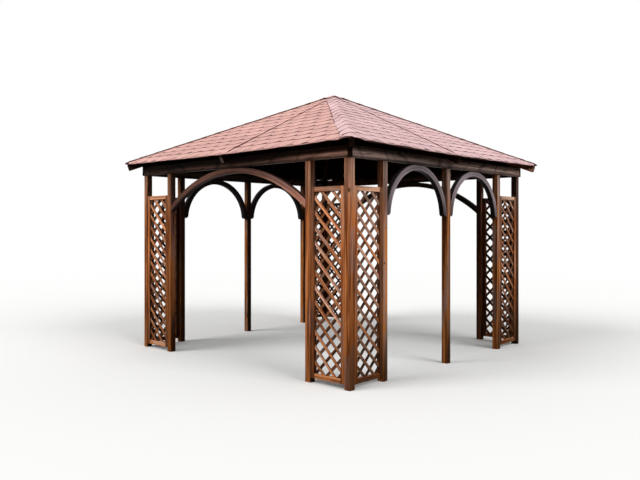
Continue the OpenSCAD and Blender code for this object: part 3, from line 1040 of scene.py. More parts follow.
def face_outwards(mesh):
    """Turns every face of a mesh of closed solids to look outwards."""
    work = bmesh.new()
    work.from_mesh(mesh)
    bmesh.ops.recalc_face_normals(work, faces=work.faces)
    work.to_mesh(mesh)
    work.free()


print("a flat member with planed edges has", len(joined_rings(4, 4)), "faces")

# %% Gathering members and building the mesh
class Stock:
    """Closed solids that become one joined mesh."""

    def __init__(self):
        self.points, self.faces, self.materials = [], [], []
        self.fibre, self.tone = [], []

    def add(self, points, faces, fibre, tone, material=0):
        first = len(self.points)
        self.points += points
        self.faces += [[first + i for i in face] for face in faces]
        self.materials += [material] * len(faces)
        self.fibre += fibre
        self.tone += [tone] * len(points)

    def member(
        self, outline, thickness, place, along, bevel=0.0, tone=1.0, slide=(0, 0, 0), material=0
    ):
        """A flat member. place(point, depth) puts it in the frame, along is its fibre direction."""
        levels = [(outline, 0.0), (outline, thickness)]
        if bevel:
            inner = shrink(outline, bevel)
            levels = [(inner, 0.0), (outline, bevel), (outline, thickness - bevel), (inner, thickness)]
        corners = [(p, depth) for ring, depth in levels for p in ring]
        across = along.orthogonal()
        centre = sum(outline, Vector((0, 0))) / len(outline)
        points = [place(p, depth) for p, depth in corners]
        fibre = [
            Vector(((p - centre).dot(along), (p - centre).dot(across), depth - thickness / 2))
            + Vector(slide) for p, depth in corners
        ]
        self.add(points, joined_rings(len(outline), len(levels)), fibre, tone, material)

    def build(self, name, materials, replaced=(), smooth=False):
        """The joined mesh as a piece of the gazebo."""
        mesh = bpy.data.meshes.new(name)
        mesh.from_pydata(self.points, [], self.faces)
        for material in materials:
            mesh.materials.append(material)
        mesh.polygons.foreach_set("material_index", self.materials)
        mesh.polygons.foreach_set("use_smooth", [smooth] * len(self.faces))
        fibre = mesh.attributes.new("fibre", "FLOAT_VECTOR", "POINT")
        fibre.data.foreach_set("vector", [number for point in self.fibre for number in point])
        tone = mesh.attributes.new("tone", "FLOAT", "POINT")
        tone.data.foreach_set("value", self.tone)
        face_outwards(mesh)
        piece = bpy.data.objects.new(name, mesh)
        bpy.context.scene.collection.objects.link(piece)
        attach(piece, "root")
        if replaced:
            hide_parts(*replaced)
        print(f"{name}: {len(mesh.vertices)} corners, {len(mesh.polygons)} faces")
        return piece


TRUNK = 20                            # metres of trunk, either way, that members come from


def random_slide():
    """Fibre coordinates of a member moved to another part of the tree, with the pith beside it."""
    along = draw.uniform(-TRUNK, TRUNK)
    across = draw.uniform(0.015, 0.07) * draw.choice((-1, 1))
    return (along, across, draw.uniform(-0.04, 0.04))


print(f"members come from {2 * TRUNK} m of trunk")

# %% [markdown]
# ## Trellis panels
#
# A real panel is a rebated frame with two layers of thin slats that cross at right angles and are
# let into each other a little. The CAD model fuses them, which is right for its strength but not
# for the eye: here each slat is a solid of its own, with planed edges, its own shade of stain and
# the small errors of hand work. The two stiles run the full height and the rails fit between.
# The inner layer is painted darker as the shade of the outer one, and the outer layer is painted
# lighter. The stiles come from redder stock, and the one that stands free of the corner post is
# the darker of the two.

# %% Trellis sizes and materials
FRAME_W = 0.045
SLAT_W = 0.030
SLAT_T = 0.009
SLAT_PITCH = 0.099
SLAT_LAP = 0.001                      # how deep two slats are let into each other
SLAT_SLIP = 0.002                     # how far a slat may lie off its place
GROOVE = 0.012                        # how deep the slats end in the frame
REBATE = 0.0008                       # how far the rails lie behind the stiles
FRAME_BEVEL, SLAT_BEVEL = 0.003, 0.0012
STILE_TONES, RAIL_TONES = (0.85, 1.1), (1.3, 1.6)
CORNER_STILE, FREE_STILE = 1.15, 0.5  # tone of the stile beside the corner post, and of the other
# Painted shade on the inner layer and painted light on the outer one, each a range of tones
PAINTED_LAYER_LIGHT_AND_SHADE = ((0.22, 0.52), (0.88, 1.65))                          # inner and outer layer
PANEL_TONES = {"right_a": 0.76, "right_b": 0.62, "front_a": 0.80}   # slats that took more stain
UPRIGHT, LEVEL = Vector((0, 1)), Vector((1, 0))

trellis_wood = timber("trellis_slats_and_rails", "trellis_wood", stored, tone=stored_tone)
stile_wood = timber("trellis_stiles", "stile_wood", stored, tone=stored_tone)
STILE, BRAD = 1, 2                    # places in the list of materials of a panel
print(f"slats {SLAT_W * 1000:.0f} by {SLAT_T * 1000:.0f} mm, {SLAT_PITCH * 1000:.0f} mm apart")

# %% [markdown]
# ## Brads
#
# A thin zinc brad holds the slats together at each crossing. Its head is only 6 mm wide, but a
# row of small dull dots is what makes a trellis look nailed and not printed. A few rings of
# points are enough for the dome. Zinc outdoors loses its shine, and the steel under it then
# rusts in spots, so the material mixes both colours and is less metallic where it has rusted.

# %% The head of a brad and its metal
BRAD_RADIUS, BRAD_PROUD = 0.0030, 0.0012
BRAD_CORNERS = 8
BRAD_RINGS = ((1.0, -0.5), (1.0, 0.2), (0.75, 0.7), (0.35, 1.0))    # shares of radius and height
ZINC = (0.30, 0.29, 0.28, 1)
RUST = (0.11, 0.045, 0.022, 1)


def brad_metal():
    """Zinc that has begun to rust."""
    material, bench, shader = new_material("brad_zinc")
    position = bench.node("ShaderNodeTexCoord").outputs["Object"]
    rust = bench.ramp(bench.noise(position, (40, 40, 40), detail=3.0), 0.45, 0.6)
    bench.feed(shader["Base Color"], bench.mix(rust, ZINC, RUST))
    bench.feed(shader["Metallic"], bench.ramp(rust, 0.0, 1.0, 0.9, 0.1))
    shader["Roughness"].default_value = 0.55
    return material


def brad_head(stock, place, point, depth):
    """The domed head of a brad, sunk a little into the face at that depth."""
    points = []
    for share, lift in BRAD_RINGS:
        for i in range(BRAD_CORNERS):
            angle = math.tau * i / BRAD_CORNERS
            offset = Vector((math.cos(angle), math.sin(angle))) * BRAD_RADIUS * share
            points.append(place(point + offset, depth + BRAD_PROUD * lift))
    faces = joined_rings(BRAD_CORNERS, len(BRAD_RINGS))
    stock.add(points, faces, [Vector((0, 0, 0))] * len(points), 1.0, BRAD)


zinc = brad_metal()
print(f"a brad head is {2000 * BRAD_RADIUS:.0f} mm wide")

# %% Frame, slats and brads of a panel
def slat_outline(width, height, foot, lean):
    """A slat that starts at a height on the left edge and leans, clipped by the grooves."""
    half = SLAT_W / math.sqrt(2)
    outline = [
        Vector((0, foot - half)), Vector((width, foot + lean * width - half)),
        Vector((width, foot + lean * width + half)), Vector((0, foot + half)),
    ]
    outline = split(outline, Vector((0, -1)), 0.0)[0]
    return split(outline, Vector((0, 1)), height)[0] if outline else []


def add_frame(stock, size, place, end):
    """Two stiles, one of them beside the corner post, and two rails set back from their faces."""
    for x in (0, size.x - FRAME_W):
        stile = rectangle(x, 0, x + FRAME_W, size.z)
        at_corner = (x == 0) == (end == "a")
        tone = draw.uniform(*STILE_TONES) * (CORNER_STILE if at_corner else FREE_STILE)
        stock.member(stile, size.y, place, UPRIGHT, FRAME_BEVEL, tone, random_slide(), STILE)
    for z in (0, size.z - FRAME_W):
        rail = rectangle(FRAME_W, z, size.x - FRAME_W, z + FRAME_W)
        stock.member(
            rail, size.y - 2 * REBATE, lambda p, depth: place(p, depth + REBATE),
            LEVEL, FRAME_BEVEL, draw.uniform(*RAIL_TONES), random_slide(),
        )


def add_slats(stock, width, height, place, first_face, panel_tone):
    """Two layers of slats over an opening. Returns where each starts on the left edge."""
    step = SLAT_PITCH * math.sqrt(2)
    feet = ([], [])
    for layer, lean in enumerate((1, -1)):
        face = first_face + layer * (SLAT_T - SLAT_LAP)
        for row in range(int((height + 2 * width + step) / step) + 1):
            foot = -width - step / 2 + row * step + draw.uniform(-SLAT_SLIP, SLAT_SLIP)
            outline = slat_outline(width, height, foot, lean)
            if not outline or area(outline) < SLAT_W ** 2 / 2:
                continue
            feet[layer].append(foot)
            tone = panel_tone * draw.uniform(*PAINTED_LAYER_LIGHT_AND_SHADE[layer])
            stock.member(
                outline, SLAT_T, lambda p, depth: place(p, depth + face),
                Vector((1, lean)).normalized(), SLAT_BEVEL, tone, random_slide(),
            )
    return feet


def add_brads(stock, width, height, place, feet, face):
    """A brad through each crossing that lies clear of the grooves."""
    margin = SLAT_W / 2
    for rising in feet[0]:
        for falling in feet[1]:
            point = Vector(((falling - rising) / 2, (falling + rising) / 2))
            if margin < point.x < width - margin and margin < point.y < height - margin:
                brad_head(stock, place, point, face)


sample = slat_outline(1.0, 1.0, 0.0, 1)
print("a slat from corner to corner of a square opening has", len(sample), "corners")

# %% One trellis panel
def trellis_panel(side, end):
    """The panel at one end of a side, in place of the fused one."""
    low, high = side_box(f"trellis_front_{end}")
    size = high - low
    edge = FRAME_W - GROOVE
    name = f"{SIDES[side]}_{end}"
    stock = Stock()

    def place(point, depth):
        return turned(side, low.x + point.x, low.y + depth, low.z + point.y)

    def place_slat(point, depth):
        return place(point + Vector((edge, edge)), depth)

    width, height = size.x - 2 * edge, size.z - 2 * edge
    first_face = (size.y - 2 * SLAT_T + SLAT_LAP) / 2
    add_frame(stock, size, place, end)
    feet = add_slats(stock, width, height, place_slat, first_face, PANEL_TONES.get(name, 1.0))
    add_brads(stock, width, height, place_slat, feet, first_face + 2 * SLAT_T - SLAT_LAP)
    woods = [trellis_wood, stile_wood, zinc]
    return stock.build(f"trellis_panel_{name}", woods, [f"trellis_{name}"])


for side in range(len(SIDES)):
    for end in ("a", "b"):
        trellis_panel(side, end)

# %% [markdown] ## Roof boards  From inside and from under the eave one sees the roof boards:
# planed softwood, laid parallel to the eave and jointed with a small V that hides the gap. The
# sharp tips at the corners of the roof would split, so they are sawn off and the shingles hang
# free there.

# %% The boards of one roof face
BOARD_W = 0.096
BOARD_GAP = 0.0008
BOARD_BEVEL = 0.003
BOARD_TONES = (0.75, 1.25)
# Outermost boards: painted shade at the front, painted light on the right and at the back
PAINTED_EAVE_BOARD_LIGHT = (0.25, 5.0, 1.5, 1.0)    # of the outermost board of each side
SEAM = 0.0015
TIP_SAWN = 0.180                      # how much of the tip at the corner of the roof is sawn off
# The boards are nearly black: painted shade under the roof.
deck_wood = timber("roof_boards", "deck_wood", stored, tone=stored_tone)


def half_face(hand, reach, hip_gap):
    """Half of a roof face in plan, as (along, out) points: hand is 1 right of the seam, -1 left."""
    corners = [Vector((SEAM, SEAM + hip_gap)), Vector((reach - hip_gap, reach)), Vector((SEAM, reach))]
    return [Vector((hand * p.x, p.y)) for p in corners][::hand]


def roof_boards(side):
    """The boards of one side, half by half and row by row from the eave up."""
    stock = Stock()

    def place(point, depth):
        top = roof_z(point.x, point.y) - covering_t
        return turned(side, point.x, point.y, top - deck_t + depth)

    for hand in (-1, 1):
        for row in range(math.ceil(deck_eave / BOARD_W)):
            outer = deck_eave - row * BOARD_W
            inner = outer - BOARD_W + BOARD_GAP
            strip = half_face(hand, deck_eave, SEAM * 2)
            tip = 2 * deck_eave - TIP_SAWN
            for direction, offset in (((0, 1), outer), ((0, -1), -inner), ((hand, 1), tip)):
                strip = split(strip, Vector(direction), offset)[0] if strip else []
            if strip and area(strip) > BOARD_W ** 2 / 4:
                tone = draw.uniform(*BOARD_TONES) if row > 1 else PAINTED_EAVE_BOARD_LIGHT[side] / (1 + row)
                stock.member(strip, deck_t, place, LEVEL, BOARD_BEVEL, tone, random_slide())
    name = SIDES[side]
    return stock.build(f"roof_boards_{name}", [deck_wood], [f"deck_{name}"])


for side in range(len(SIDES)):
    roof_boards(side)

# %% [markdown]
# ## Shingle finish
#
# A bitumen shingle is a glass mat soaked in bitumen and pressed full of crushed stone. Its face
# is a dusty brick pink made of thousands of grains, a little different from strip to strip. The
# upper part, which the next course mostly hides, carries darker grains: it shows only in the
# gaps between the rounded tails, and here and there dust has blown in and made them pale. Cells
# of a Voronoi texture are the single grains, and two sizes of noise gather them into specks and
# clouds. The underside is bare bitumen, nearly black, and on the cut edges the stone dust of
# the saw sticks to it.

# %% The granule group
GRAINS_PER_METRE = 420.0
PALE_GRAIN = (0.80, 0.66, 0.60, 1)
PALE_FROM, PALE_SHARE = 0.93, 0.4     # which grains are paler, from 0 to 1, and by what share
BRICK = (1.0, 0.74, 0.70, 1)          # the darker grains are redder too
DUST_PATCHES = (3.6, 3.6, 3.6)        # patches of dust for each metre
CLEAN_GAP, DUSTY_GAP = 0.25, 2.2      # what dust makes of the shade in the gaps
# How much the tone varies from grain to grain, in coarser specks and in clouds, and its least
GRAIN_TONE, SPECK_TONE, CLOUD_TONE = (0.44, 0.78), (0.36, 0.82), (0.30, 0.85)


def make_granules():
    """Colour and height of the crushed stone, darker above a line across the shingle."""
    tree, bench, given, result = shader_group(
        "granules",
        {"Position": "Vector", "Color": "Color", "Up": "Float",
         "Shade From": "Float", "Shade To": "Float", "Shade": "Float"},
        {"Color": "Color", "Height": "Float"},
    )
    position = given["Position"]
    grains = bench.node("ShaderNodeTexVoronoi", {"Vector": position, "Scale": GRAINS_PER_METRE})
    grain = bench.axes(grains.outputs["Color"])["X"]
    specks = bench.noise(position, (110, 110, 110), detail=2.0)
    clouds = bench.noise(position, (5, 5, 5), detail=3.0)
    colour = given["Color"]
    for mask, tone in ((grain, GRAIN_TONE), (specks, SPECK_TONE), (clouds, CLOUD_TONE)):
        colour = bench.shade(colour, bench.math("MULTIPLY_ADD", mask, *tone))
    pale = bench.math("GREATER_THAN", grain, PALE_FROM)
    colour = bench.mix(bench.math("MULTIPLY", pale, PALE_SHARE), colour, PALE_GRAIN)
    upper = bench.ramp(given["Up"], given["Shade From"], given["Shade To"])
    patches = bench.noise(position, DUST_PATCHES, detail=1.0)
    dust = bench.ramp(patches, 0.40, 0.70, CLEAN_GAP, DUSTY_GAP)
    shade = bench.math("MULTIPLY", given["Shade"], dust)
    shaded = bench.mix(1.0, bench.shade(colour, shade), BRICK, "MULTIPLY")
    bench.feed(result["Color"], bench.mix(upper, colour, shaded))
    relief = bench.math("SUBTRACT", 1.0, grains.outputs["Distance"])
    bench.feed(result["Height"], relief)
    return tree


GRANULES = make_granules()
print("granule group:", len(GRANULES.nodes), "nodes")

# %% The materials of a shingle: its face, its underside and its cut edge
# Two shades of pink: one for front and back, and a paler one for left and right, which is painted light
UPPER_SHADES = (0.15, 0.30)           # of the upper part of a tab, beside its face; lighter on left and right, as painted light
SHINGLE_PINKS_PAINTED_LIGHT = ((0.700, 0.400, 0.355, 1), (0.755, 0.505, 0.515, 1))


def shingle_material(name, lit_pink, shade_from, shade_to):
    """A face of granules that turns dark between two distances up from the tail."""
    material, bench, shader = new_material(name)
    position = bench.node("ShaderNodeTexCoord").outputs["Object"]
    lay = bench.axes(stored(bench, position))
    stone = placed_group(bench, GRANULES, {
        "Position": position, "Color": bench.shade(SHINGLE_PINKS_PAINTED_LIGHT[lit_pink], stored_tone(bench)),
        "Up": lay["Y"], "Shade From": shade_from, "Shade To": shade_to,
        "Shade": UPPER_SHADES[lit_pink],
    })
    bench.feed(shader["Base Color"], stone["Color"])
    relief = {"Height": stone["Height"], "Distance": 0.0008, "Strength": 0.6}
    bench.feed(shader["Normal"], bench.node("ShaderNodeBump", relief).outputs[0])
    shader["Roughness"].default_value = 0.92
    shader["Specular IOR Level"].default_value = 0.25
    return material


def bitumen_material(name, dark, pale):
    """Bitumen without granules, in patches of two shades."""
    material, bench, shader = new_material(name)
    position = bench.node("ShaderNodeTexCoord").outputs["Object"]
    patchy = bench.noise(position, (60, 60, 60), detail=3.0)
    bench.feed(shader["Base Color"], bench.mix(patchy, dark, pale))
    shader["Roughness"].default_value = 0.85
    shader["Specular IOR Level"].default_value = 0.1
    return material


bitumen = bitumen_material("bitumen", (0.034, 0.009, 0.008, 1), (0.120, 0.034, 0.028, 1))
dusty_edge = bitumen_material("dusty_cut_edge", (0.12, 0.046, 0.039, 1), (0.38, 0.168, 0.143, 1))
print("shingles:", len(SHINGLE_PINKS_PAINTED_LIGHT), "batches,", bitumen.name, "and", dusty_edge.name)

# %% [markdown]
# ## Shingle courses
#
# The shingles are beaver tails: 200 mm wide tabs with a rounded end, laid in courses that each
# shift half a tab against the one below, so that every slot is covered. Each tab lies on the
# course below and tilts a little, which is what makes the courses read as steps. The two halves
# of a face come as separate panels, so their courses don't quite meet: one half laps over the
# other at the seam. At a hip, one face's tabs are bent over the ridge and cut off straight, a
# hand's width down the other face. The corners of the roof hang free of the boards, so they curl
# and are cut round.

# %% Sizes of the covering
TAB_W = 0.200
SLOT = 0.008
EXPOSURE = 0.1445                     # slope length of a course that stays in view
TAIL_DEPTH = 0.038                    # how far the rounded end of a tab swings down
SHEET_T = 0.0030
HIP_BEND = (0.060, 0.170)             # how far a sheet curves beside a hip, at the apex and the eave
CORNER_SAG = 0.017                    # how far the bent sheets hang below the ridge line at the eave
TIP_CURL = 0.009                      # how far the corners of the covering curl up
WRAP = 0.139                          # how far a bent tab reaches over a hip, along the course
STAND = 0.020                         # how far a tab stands past a hip where it isn't bent over
HIP_BUTT = 0.004                      # how far a tab ends before a hip where the other laps over
APEX_OPEN = 0.05                      # how much the cap covers instead, at the apex
CORNER_RADII = (0.170, 0.130, 0.020, 0.130)     # of the tabs at each corner of the eave
COURSES = round(eave / math.cos(roof_slope) / EXPOSURE)
COURSE = eave / COURSES               # the same exposure measured in plan
TAB_LENGTH = COURSE * 2.15
# How each half face, as (side, hand), ends at its hip: bent over, or left standing. Others butt.
WRAPPING = {(1, -1), (2, 1)}
STANDING = {(3, 1), (2, -1)}
UNDER_WRAP = {((side + hand) % 4, -hand) for side, hand in WRAPPING}
LAPPING_HAND = (-1, 1, -1, 1)         # the half of each face that laps over the other at the seam
SEAM_LAP, SEAM_SPREAD = 0.045, 0.045  # the lap at the apex, and what it gains per metre down
# Where the first slot of the lowest course falls on each half face, left and right of its seam
FIRST_SLOT = ((-0.005, 0.050), (0.140, 0.020), (0.070, 0.160), (0.010, 0.120))
print(f"{COURSES} courses of {COURSE:.4f} m in plan")

# %% [markdown]
# ## One tab
#
# A tab starts as a convex outline in plan, is cut by the seam, the hip and the eave, and is then
# cut again along lines where it has to bend. Only then does each corner get its height. Working
# in plan keeps every cut exact, and the neighbours of a tab get their height from the same
# function, so no tab dips through another. Near a tail the sheet lifts off the course below.

# %% Outline and cuts of a tab
TAIL_ROUND = 2.6                      # power of the tail's curve: 2 is a parabola, more is blunter
TAIL_STEPS = 8
EAVE_GAP = 0.0005                     # how far the covering stays inside the eave
CORNER_STEPS = 6
FOLDS_UP = (0.12, 0.45, 1.0)          # where a tab bends, in courses above its tail
# Further bends: before the eave, on both sides of a hip, and on both sides of the seam
FOLDS_AT_EAVE = (0.006, 0.02, 0.05)
FOLDS_AT_HIP = (-0.17, -0.13, -0.10, -0.075, -0.05, -0.03, -0.01, 0.01, 0.03, 0.05, 0.075, 0.10)
FOLDS_AT_SEAM = (-0.002, 0.012)


def cut_by(parts, cuts):
    """The parts, each cut along every one of the lines. No part is lost."""
    for direction, offset in cuts:
        parts = [piece for part in parts for piece in split(part, direction, offset) if piece]
    return parts


def tab_outline(middle_along, tail_out):
    """A tab in plan, with its rounded end at the eave side."""
    half = (TAB_W - SLOT) / 2
    arc = []
    for i in range(TAIL_STEPS + 1):
        x = half - 2 * half * i / TAIL_STEPS
        arc.append(Vector((middle_along + x, tail_out - TAIL_DEPTH * abs(x / half) ** TAIL_ROUND)))
    top = tail_out - TAB_LENGTH
    return [Vector((middle_along - half, top)), Vector((middle_along + half, top))] + arc


def cover_cuts(side, hand, inset=0.0, rag=0.0, radii=CORNER_RADII):
    """Straight cuts round one half face, as (direction, offset)."""
    past_hip = -HIP_BUTT
    if (side, hand) in WRAPPING:
        past_hip = WRAP + rag
    elif (side, hand) in STANDING:
        past_hip = STAND
    seam = (Vector((-hand, 0)), -SLOT / 2)
    if LAPPING_HAND[side] == hand:
        seam = (Vector((-hand, -SEAM_SPREAD)), SEAM_LAP + rag / 2)
    cuts = [seam, (Vector((hand, -1)), past_hip), (Vector((0, -1)), -APEX_OPEN)]
    radius = radii[side if hand > 0 else side - 1]
    centre = eave - EAVE_GAP - inset - radius
    for step in range(CORNER_STEPS + 1):
        angle = math.pi / 2 * step / CORNER_STEPS
        direction = Vector((hand * math.cos(angle), math.sin(angle)))
        cuts.append((direction, centre * (math.cos(angle) + math.sin(angle)) + radius))
    return cuts


def bent_parts(outline, side, hand, tail_out):
    """The outline cut along every line where the sheet bends."""
    folds = [(Vector((0, 1)), tail_out - COURSE * share) for share in FOLDS_UP]
    folds += [(Vector((0, 1)), eave - back) for back in FOLDS_AT_EAVE]
    folds += [(Vector((hand, -1)), across) for across in FOLDS_AT_HIP]
    if LAPPING_HAND[side] == hand:
        folds += [(Vector((hand, 0)), along) for along in FOLDS_AT_SEAM]
    return cut_by([outline], folds)


whole_tab = tab_outline(0.0, eave)
print(f"a tab is {area(whole_tab) * 1e4:.0f} square cm in plan,", end=" ")
print("cut into", len(bent_parts(whole_tab, 0, 1, eave)), "parts where it bends")

# %% Height of a tab
COURSE_LEVEL, STARTER_LEVEL = 3.2, 2.0          # sheets under the tail, and the sheet itself
HIP_STEP, SEAM_STEP = 1.7, 1.5                  # sheets that a bent or lapping tab lies higher
WAVE, WAVE_SIZE = 0.0022, 3.1                   # height of the sheets' waves, and waves per metre
RIPPLE, RIPPLE_SIZE = 0.009, 4.3                # the same for the ripples of the eave
EAVE_DROOP = 0.004                              # how far the eave hangs
LIFTED = 0.45                                   # the part of a course that lifts off
HIP_RISE, SEAM_RISE = 0.03, 0.014               # within what distance a tab gets that higher
SAG_REACH, CURL_REACH, DROOP_REACH = 0.22, 0.16, 0.10   # how far from the eave each begins
FREE_EDGE = 0.002                               # how far before the boards' edge a tab hangs free


def smooth(value, start, end):
    """0 before start, 1 after end, and an even curve between."""
    t = min(1.0, max(0.0, (value - start) / (end - start)))
    return t * t * (3 - 2 * t)


def unevenness(side, point, size, layer):
    """Noise between -1 and 1 over a side, different in each layer."""
    return noise.noise(turned(side, point.x * size, point.y * size, layer))


def sheet_height(side, hand, point, tail_out, lift, level=COURSE_LEVEL):
    """Height of the upper side of a tab over a point in plan."""
    up = (tail_out - point.y) / COURSE
    along, out = hand * point.x, point.y
    surface = roof_z(along, out)
    if (side, hand) in WRAPPING | UNDER_WRAP:
        bend = HIP_BEND[0] + (HIP_BEND[1] - HIP_BEND[0]) * out / eave
        sunk = CORNER_SAG * smooth(out, eave - SAG_REACH, eave)
        surface = roof_z(along, out, bend, sunk)
    if (side, hand) in STANDING and along > out:
        surface = roof_z(out, out) + (corner_z - middle_z) / eave * (along - out)
    height = surface - covering_t + SHEET_T * (level - up)
    if (side, hand) in WRAPPING | STANDING:
        height += SHEET_T * HIP_STEP * smooth(along - out, -HIP_RISE, 0.0)
    if LAPPING_HAND[side] == hand:
        height += SHEET_T * SEAM_STEP * smooth(-along, -SEAM_RISE, 0.0)
    wave = WAVE * unevenness(side, point, WAVE_SIZE, 5.0)
    height += wave + lift * max(0.0, 1 - up / LIFTED) ** 2
    if (side, hand) not in WRAPPING | UNDER_WRAP:
        height += TIP_CURL * smooth(along + out, 2 * eave - CURL_REACH, 2 * eave)
    past_boards = max(0.0, max(along, out) - deck_eave + FREE_EDGE)
    ripple = RIPPLE * unevenness(side, point, RIPPLE_SIZE, 9.0) - EAVE_DROOP
    return height - past_boards + smooth(out, eave - DROOP_REACH, eave) * ripple


over_edge = sheet_height(0, 1, Vector((TAB_W, deck_eave)), eave, 0.0)
print(f"the boards end at a height of {deck_top_z:.3f} m, with the lowest tab at {over_edge:.3f} m")

# %% [markdown]
# ## Laying a roof face
#
# A roofer starts at the eave with a plain strip, because the lowest tabs need something under
# the gaps between their tails. Then the courses go up, each from a chalk line, and none is quite
# straight. Every tab becomes a closed sheet with three materials: granules on top, bitumen under
# it and the dusty edge of the cut round it. At the very corners the strip has lost its grains
# and is bare bitumen. Points are shared between the parts of a tab, so it bends without a crack.

# %% One sheet
def add_sheet(stock, side, parts, height, tone, tail_out, middle_along, top=0):
    """Adds one tab: bent upper side of granules, under side and cut edges of bitumen."""
    points, index, lay = [], {}, []

    def corner(p, under):
        key = (round(p.x, 6), round(p.y, 6), under)
        if key not in index:
            index[key] = len(points)
            points.append(turned(side, p.x, p.y, height(p) - SHEET_T * under))
            lay.append(Vector((p.x - middle_along, tail_out - p.y, 0)))
        return index[key]

    upper = [[corner(p, 0) for p in part] for part in parts]
    lower = [[corner(p, 1) for p in part][::-1] for part in parts]
    edges = {(a, b) for face in upper for a, b in zip(face, face[1:] + face[:1])}
    keys = {number: key for key, number in index.items()}
    rim = []
    for a, b in sorted(edges):
        if (b, a) not in edges:
            under_a = index[keys[a][:2] + (1,)]
            under_b = index[keys[b][:2] + (1,)]
            rim.append([a, under_a, under_b, b])
    stock.add(points, upper, lay, tone, top)
    first = len(stock.points) - len(points)
    for kind, group in ((1, lower), (2, rim)):
        stock.faces += [[first + i for i in face] for face in group]
        stock.materials += [kind] * len(group)


one_tab = Stock()
add_sheet(one_tab, 0, bent_parts(whole_tab, 0, 1, eave), lambda p: 0.0, 1.0, eave, 0.0)
print("the sheet of one tab has", len(one_tab.points), "corners and", len(one_tab.faces), "faces")

# %% The starter strip
STARTER_RADII = (0.170, 0.008, 0.020, 0.008)    # of the starter strip at each corner of the eave
STARTER_TONE = 0.9
STARTER_PAST = 0.2                    # how far it reaches over the seam before it is cut there
STARTER_PARTS = 12                    # how finely the starter strip bends along the eave
STARTER_BACK = 0.002                  # how far the starter strip stays behind the eave
BARE_TIP = 0.17                       # how far from a corner the starter strip has lost its grains


def starter_strip(stock, side, hand):
    """The plain strip under the lowest course, which closes the gaps between its tails."""
    out = eave - STARTER_BACK
    outline = rectangle(-STARTER_PAST, out - TAB_LENGTH / 2, eave, out)
    outline = [Vector((hand * p.x, p.y)) for p in outline][::hand]
    for cut in cover_cuts(side, hand, inset=STARTER_BACK, radii=STARTER_RADII):
        outline = split(outline, *cut)[0]
    for top, length in enumerate(split(outline, Vector((hand, 1)), 2 * eave - BARE_TIP)):
        parts = bent_parts(length, side, hand, out) if length else []
        bends = [hand * number * eave / STARTER_PARTS for number in range(1, STARTER_PARTS)]
        parts = cut_by(parts, [(LEVEL, along) for along in bends])
        add_sheet(
            stock, side, parts, lambda p: sheet_height(side, hand, p, out, 0.0, STARTER_LEVEL),
            STARTER_TONE, out, 0.0, top,
        )


print(f"the starter strip is {TAB_LENGTH / 2:.3f} m wide and {STARTER_BACK * 1000:.0f} mm back")

# %% One roof face
STRIP_TABS = 5                        # tabs that share one strip of shingle, and so one tone
STRIP_TONES, TAB_TONES = (0.93, 1.07), (0.96, 1.04)
TAIL_SLIP, RAG = 0.0015, 0.006        # how unevenly tails lie, and how unevenly hips are cut
MOST_SLIP, MOST_LIFT = 0.010, 0.0020  # of a half face, and of a tail
LEAST_AREA = 0.0002                   # smaller scraps of a tab are thrown away
SHADE_FROM, SHADE_TO = 1.03, 1.09     # where the dark grains begin, in courses above a tail


def shingle_face(side):
    """The covering of one side, half by half and course by course."""
    stock = Stock()
    tabs_reach = math.ceil(eave / TAB_W) + 1
    for hand in (-1, 1):
        first_slot = FIRST_SLOT[side][(hand + 1) // 2]
        slip = draw.uniform(0.0, MOST_SLIP)
        starter_strip(stock, side, hand)
        for course in range(COURSES):
            tail_out = eave - course * COURSE - (slip if course else 0.0)
            strip_tone = draw.uniform(*STRIP_TONES)
            start = first_slot + (course % 2) * TAB_W / 2
            for number in range(-tabs_reach, tabs_reach + 1):
                middle_along = start + (number + 0.5) * TAB_W
                if hand * middle_along < -1.5 * TAB_W:
                    continue
                if number % STRIP_TABS == 0:
                    strip_tone = draw.uniform(*STRIP_TONES)
                outline = tab_outline(middle_along, tail_out + draw.uniform(-TAIL_SLIP, TAIL_SLIP))
                for cut in cover_cuts(side, hand, rag=draw.uniform(-RAG, RAG)):
                    outline = split(outline, *cut)[0] if outline else []
                if not outline or abs(area(outline)) < LEAST_AREA:
                    continue
                lift = draw.uniform(0.0, MOST_LIFT)
                add_sheet(
                    stock, side, bent_parts(outline, side, hand, tail_out),
                    lambda p: sheet_height(side, hand, p, tail_out, lift),
                    strip_tone * draw.uniform(*TAB_TONES), tail_out, middle_along,
                )
    name = SIDES[side]
    dark_from, dark_to = COURSE * SHADE_FROM, COURSE * SHADE_TO
    shingle = shingle_material(f"shingle_{name}", side % 2, dark_from, dark_to)
    return stock.build(
        f"shingle_courses_{name}", [shingle, bitumen, dusty_edge], [f"shingles_{name}"]
    )


for side in range(len(SIDES)):
    shingle_face(side)

# %% [markdown]
# ## Apex cap
#
# Where the four hips meet, one square of the same sheet is bent over the point and nailed. Its
# corners are clipped so that they don't catch the wind, and they curl up a little. It is made
# like a tab: an outline in plan, cut along the lines where it bends, and then a height for each
# corner.

# %% The cap
CAP_REACH = 0.105
CAP_CLIP = 0.020                      # how much of each corner is cut off
CAP_BEND = 0.050
CAP_LEVEL = 6.9                       # sheets under the cap, and the cap itself
CAP_SAG, CAP_CURL = 0.0015, 0.007
CAP_WAVES = 14                        # dents of the cap for each metre
CURL_FROM, CURL_FULL = 0.11, 0.19     # where its corners begin to curl, and where they have curled
CAP_BELOW = 0.0003                    # how far it stays below the top of the packed model
CAP_TONE = 1.04
CAP_FOLDS = (-0.07, -0.035, -0.012, 0.012, 0.035, 0.07)
NO_SHADE = (2.0, 3.0)                 # the dark grains would begin beyond the cap's edge


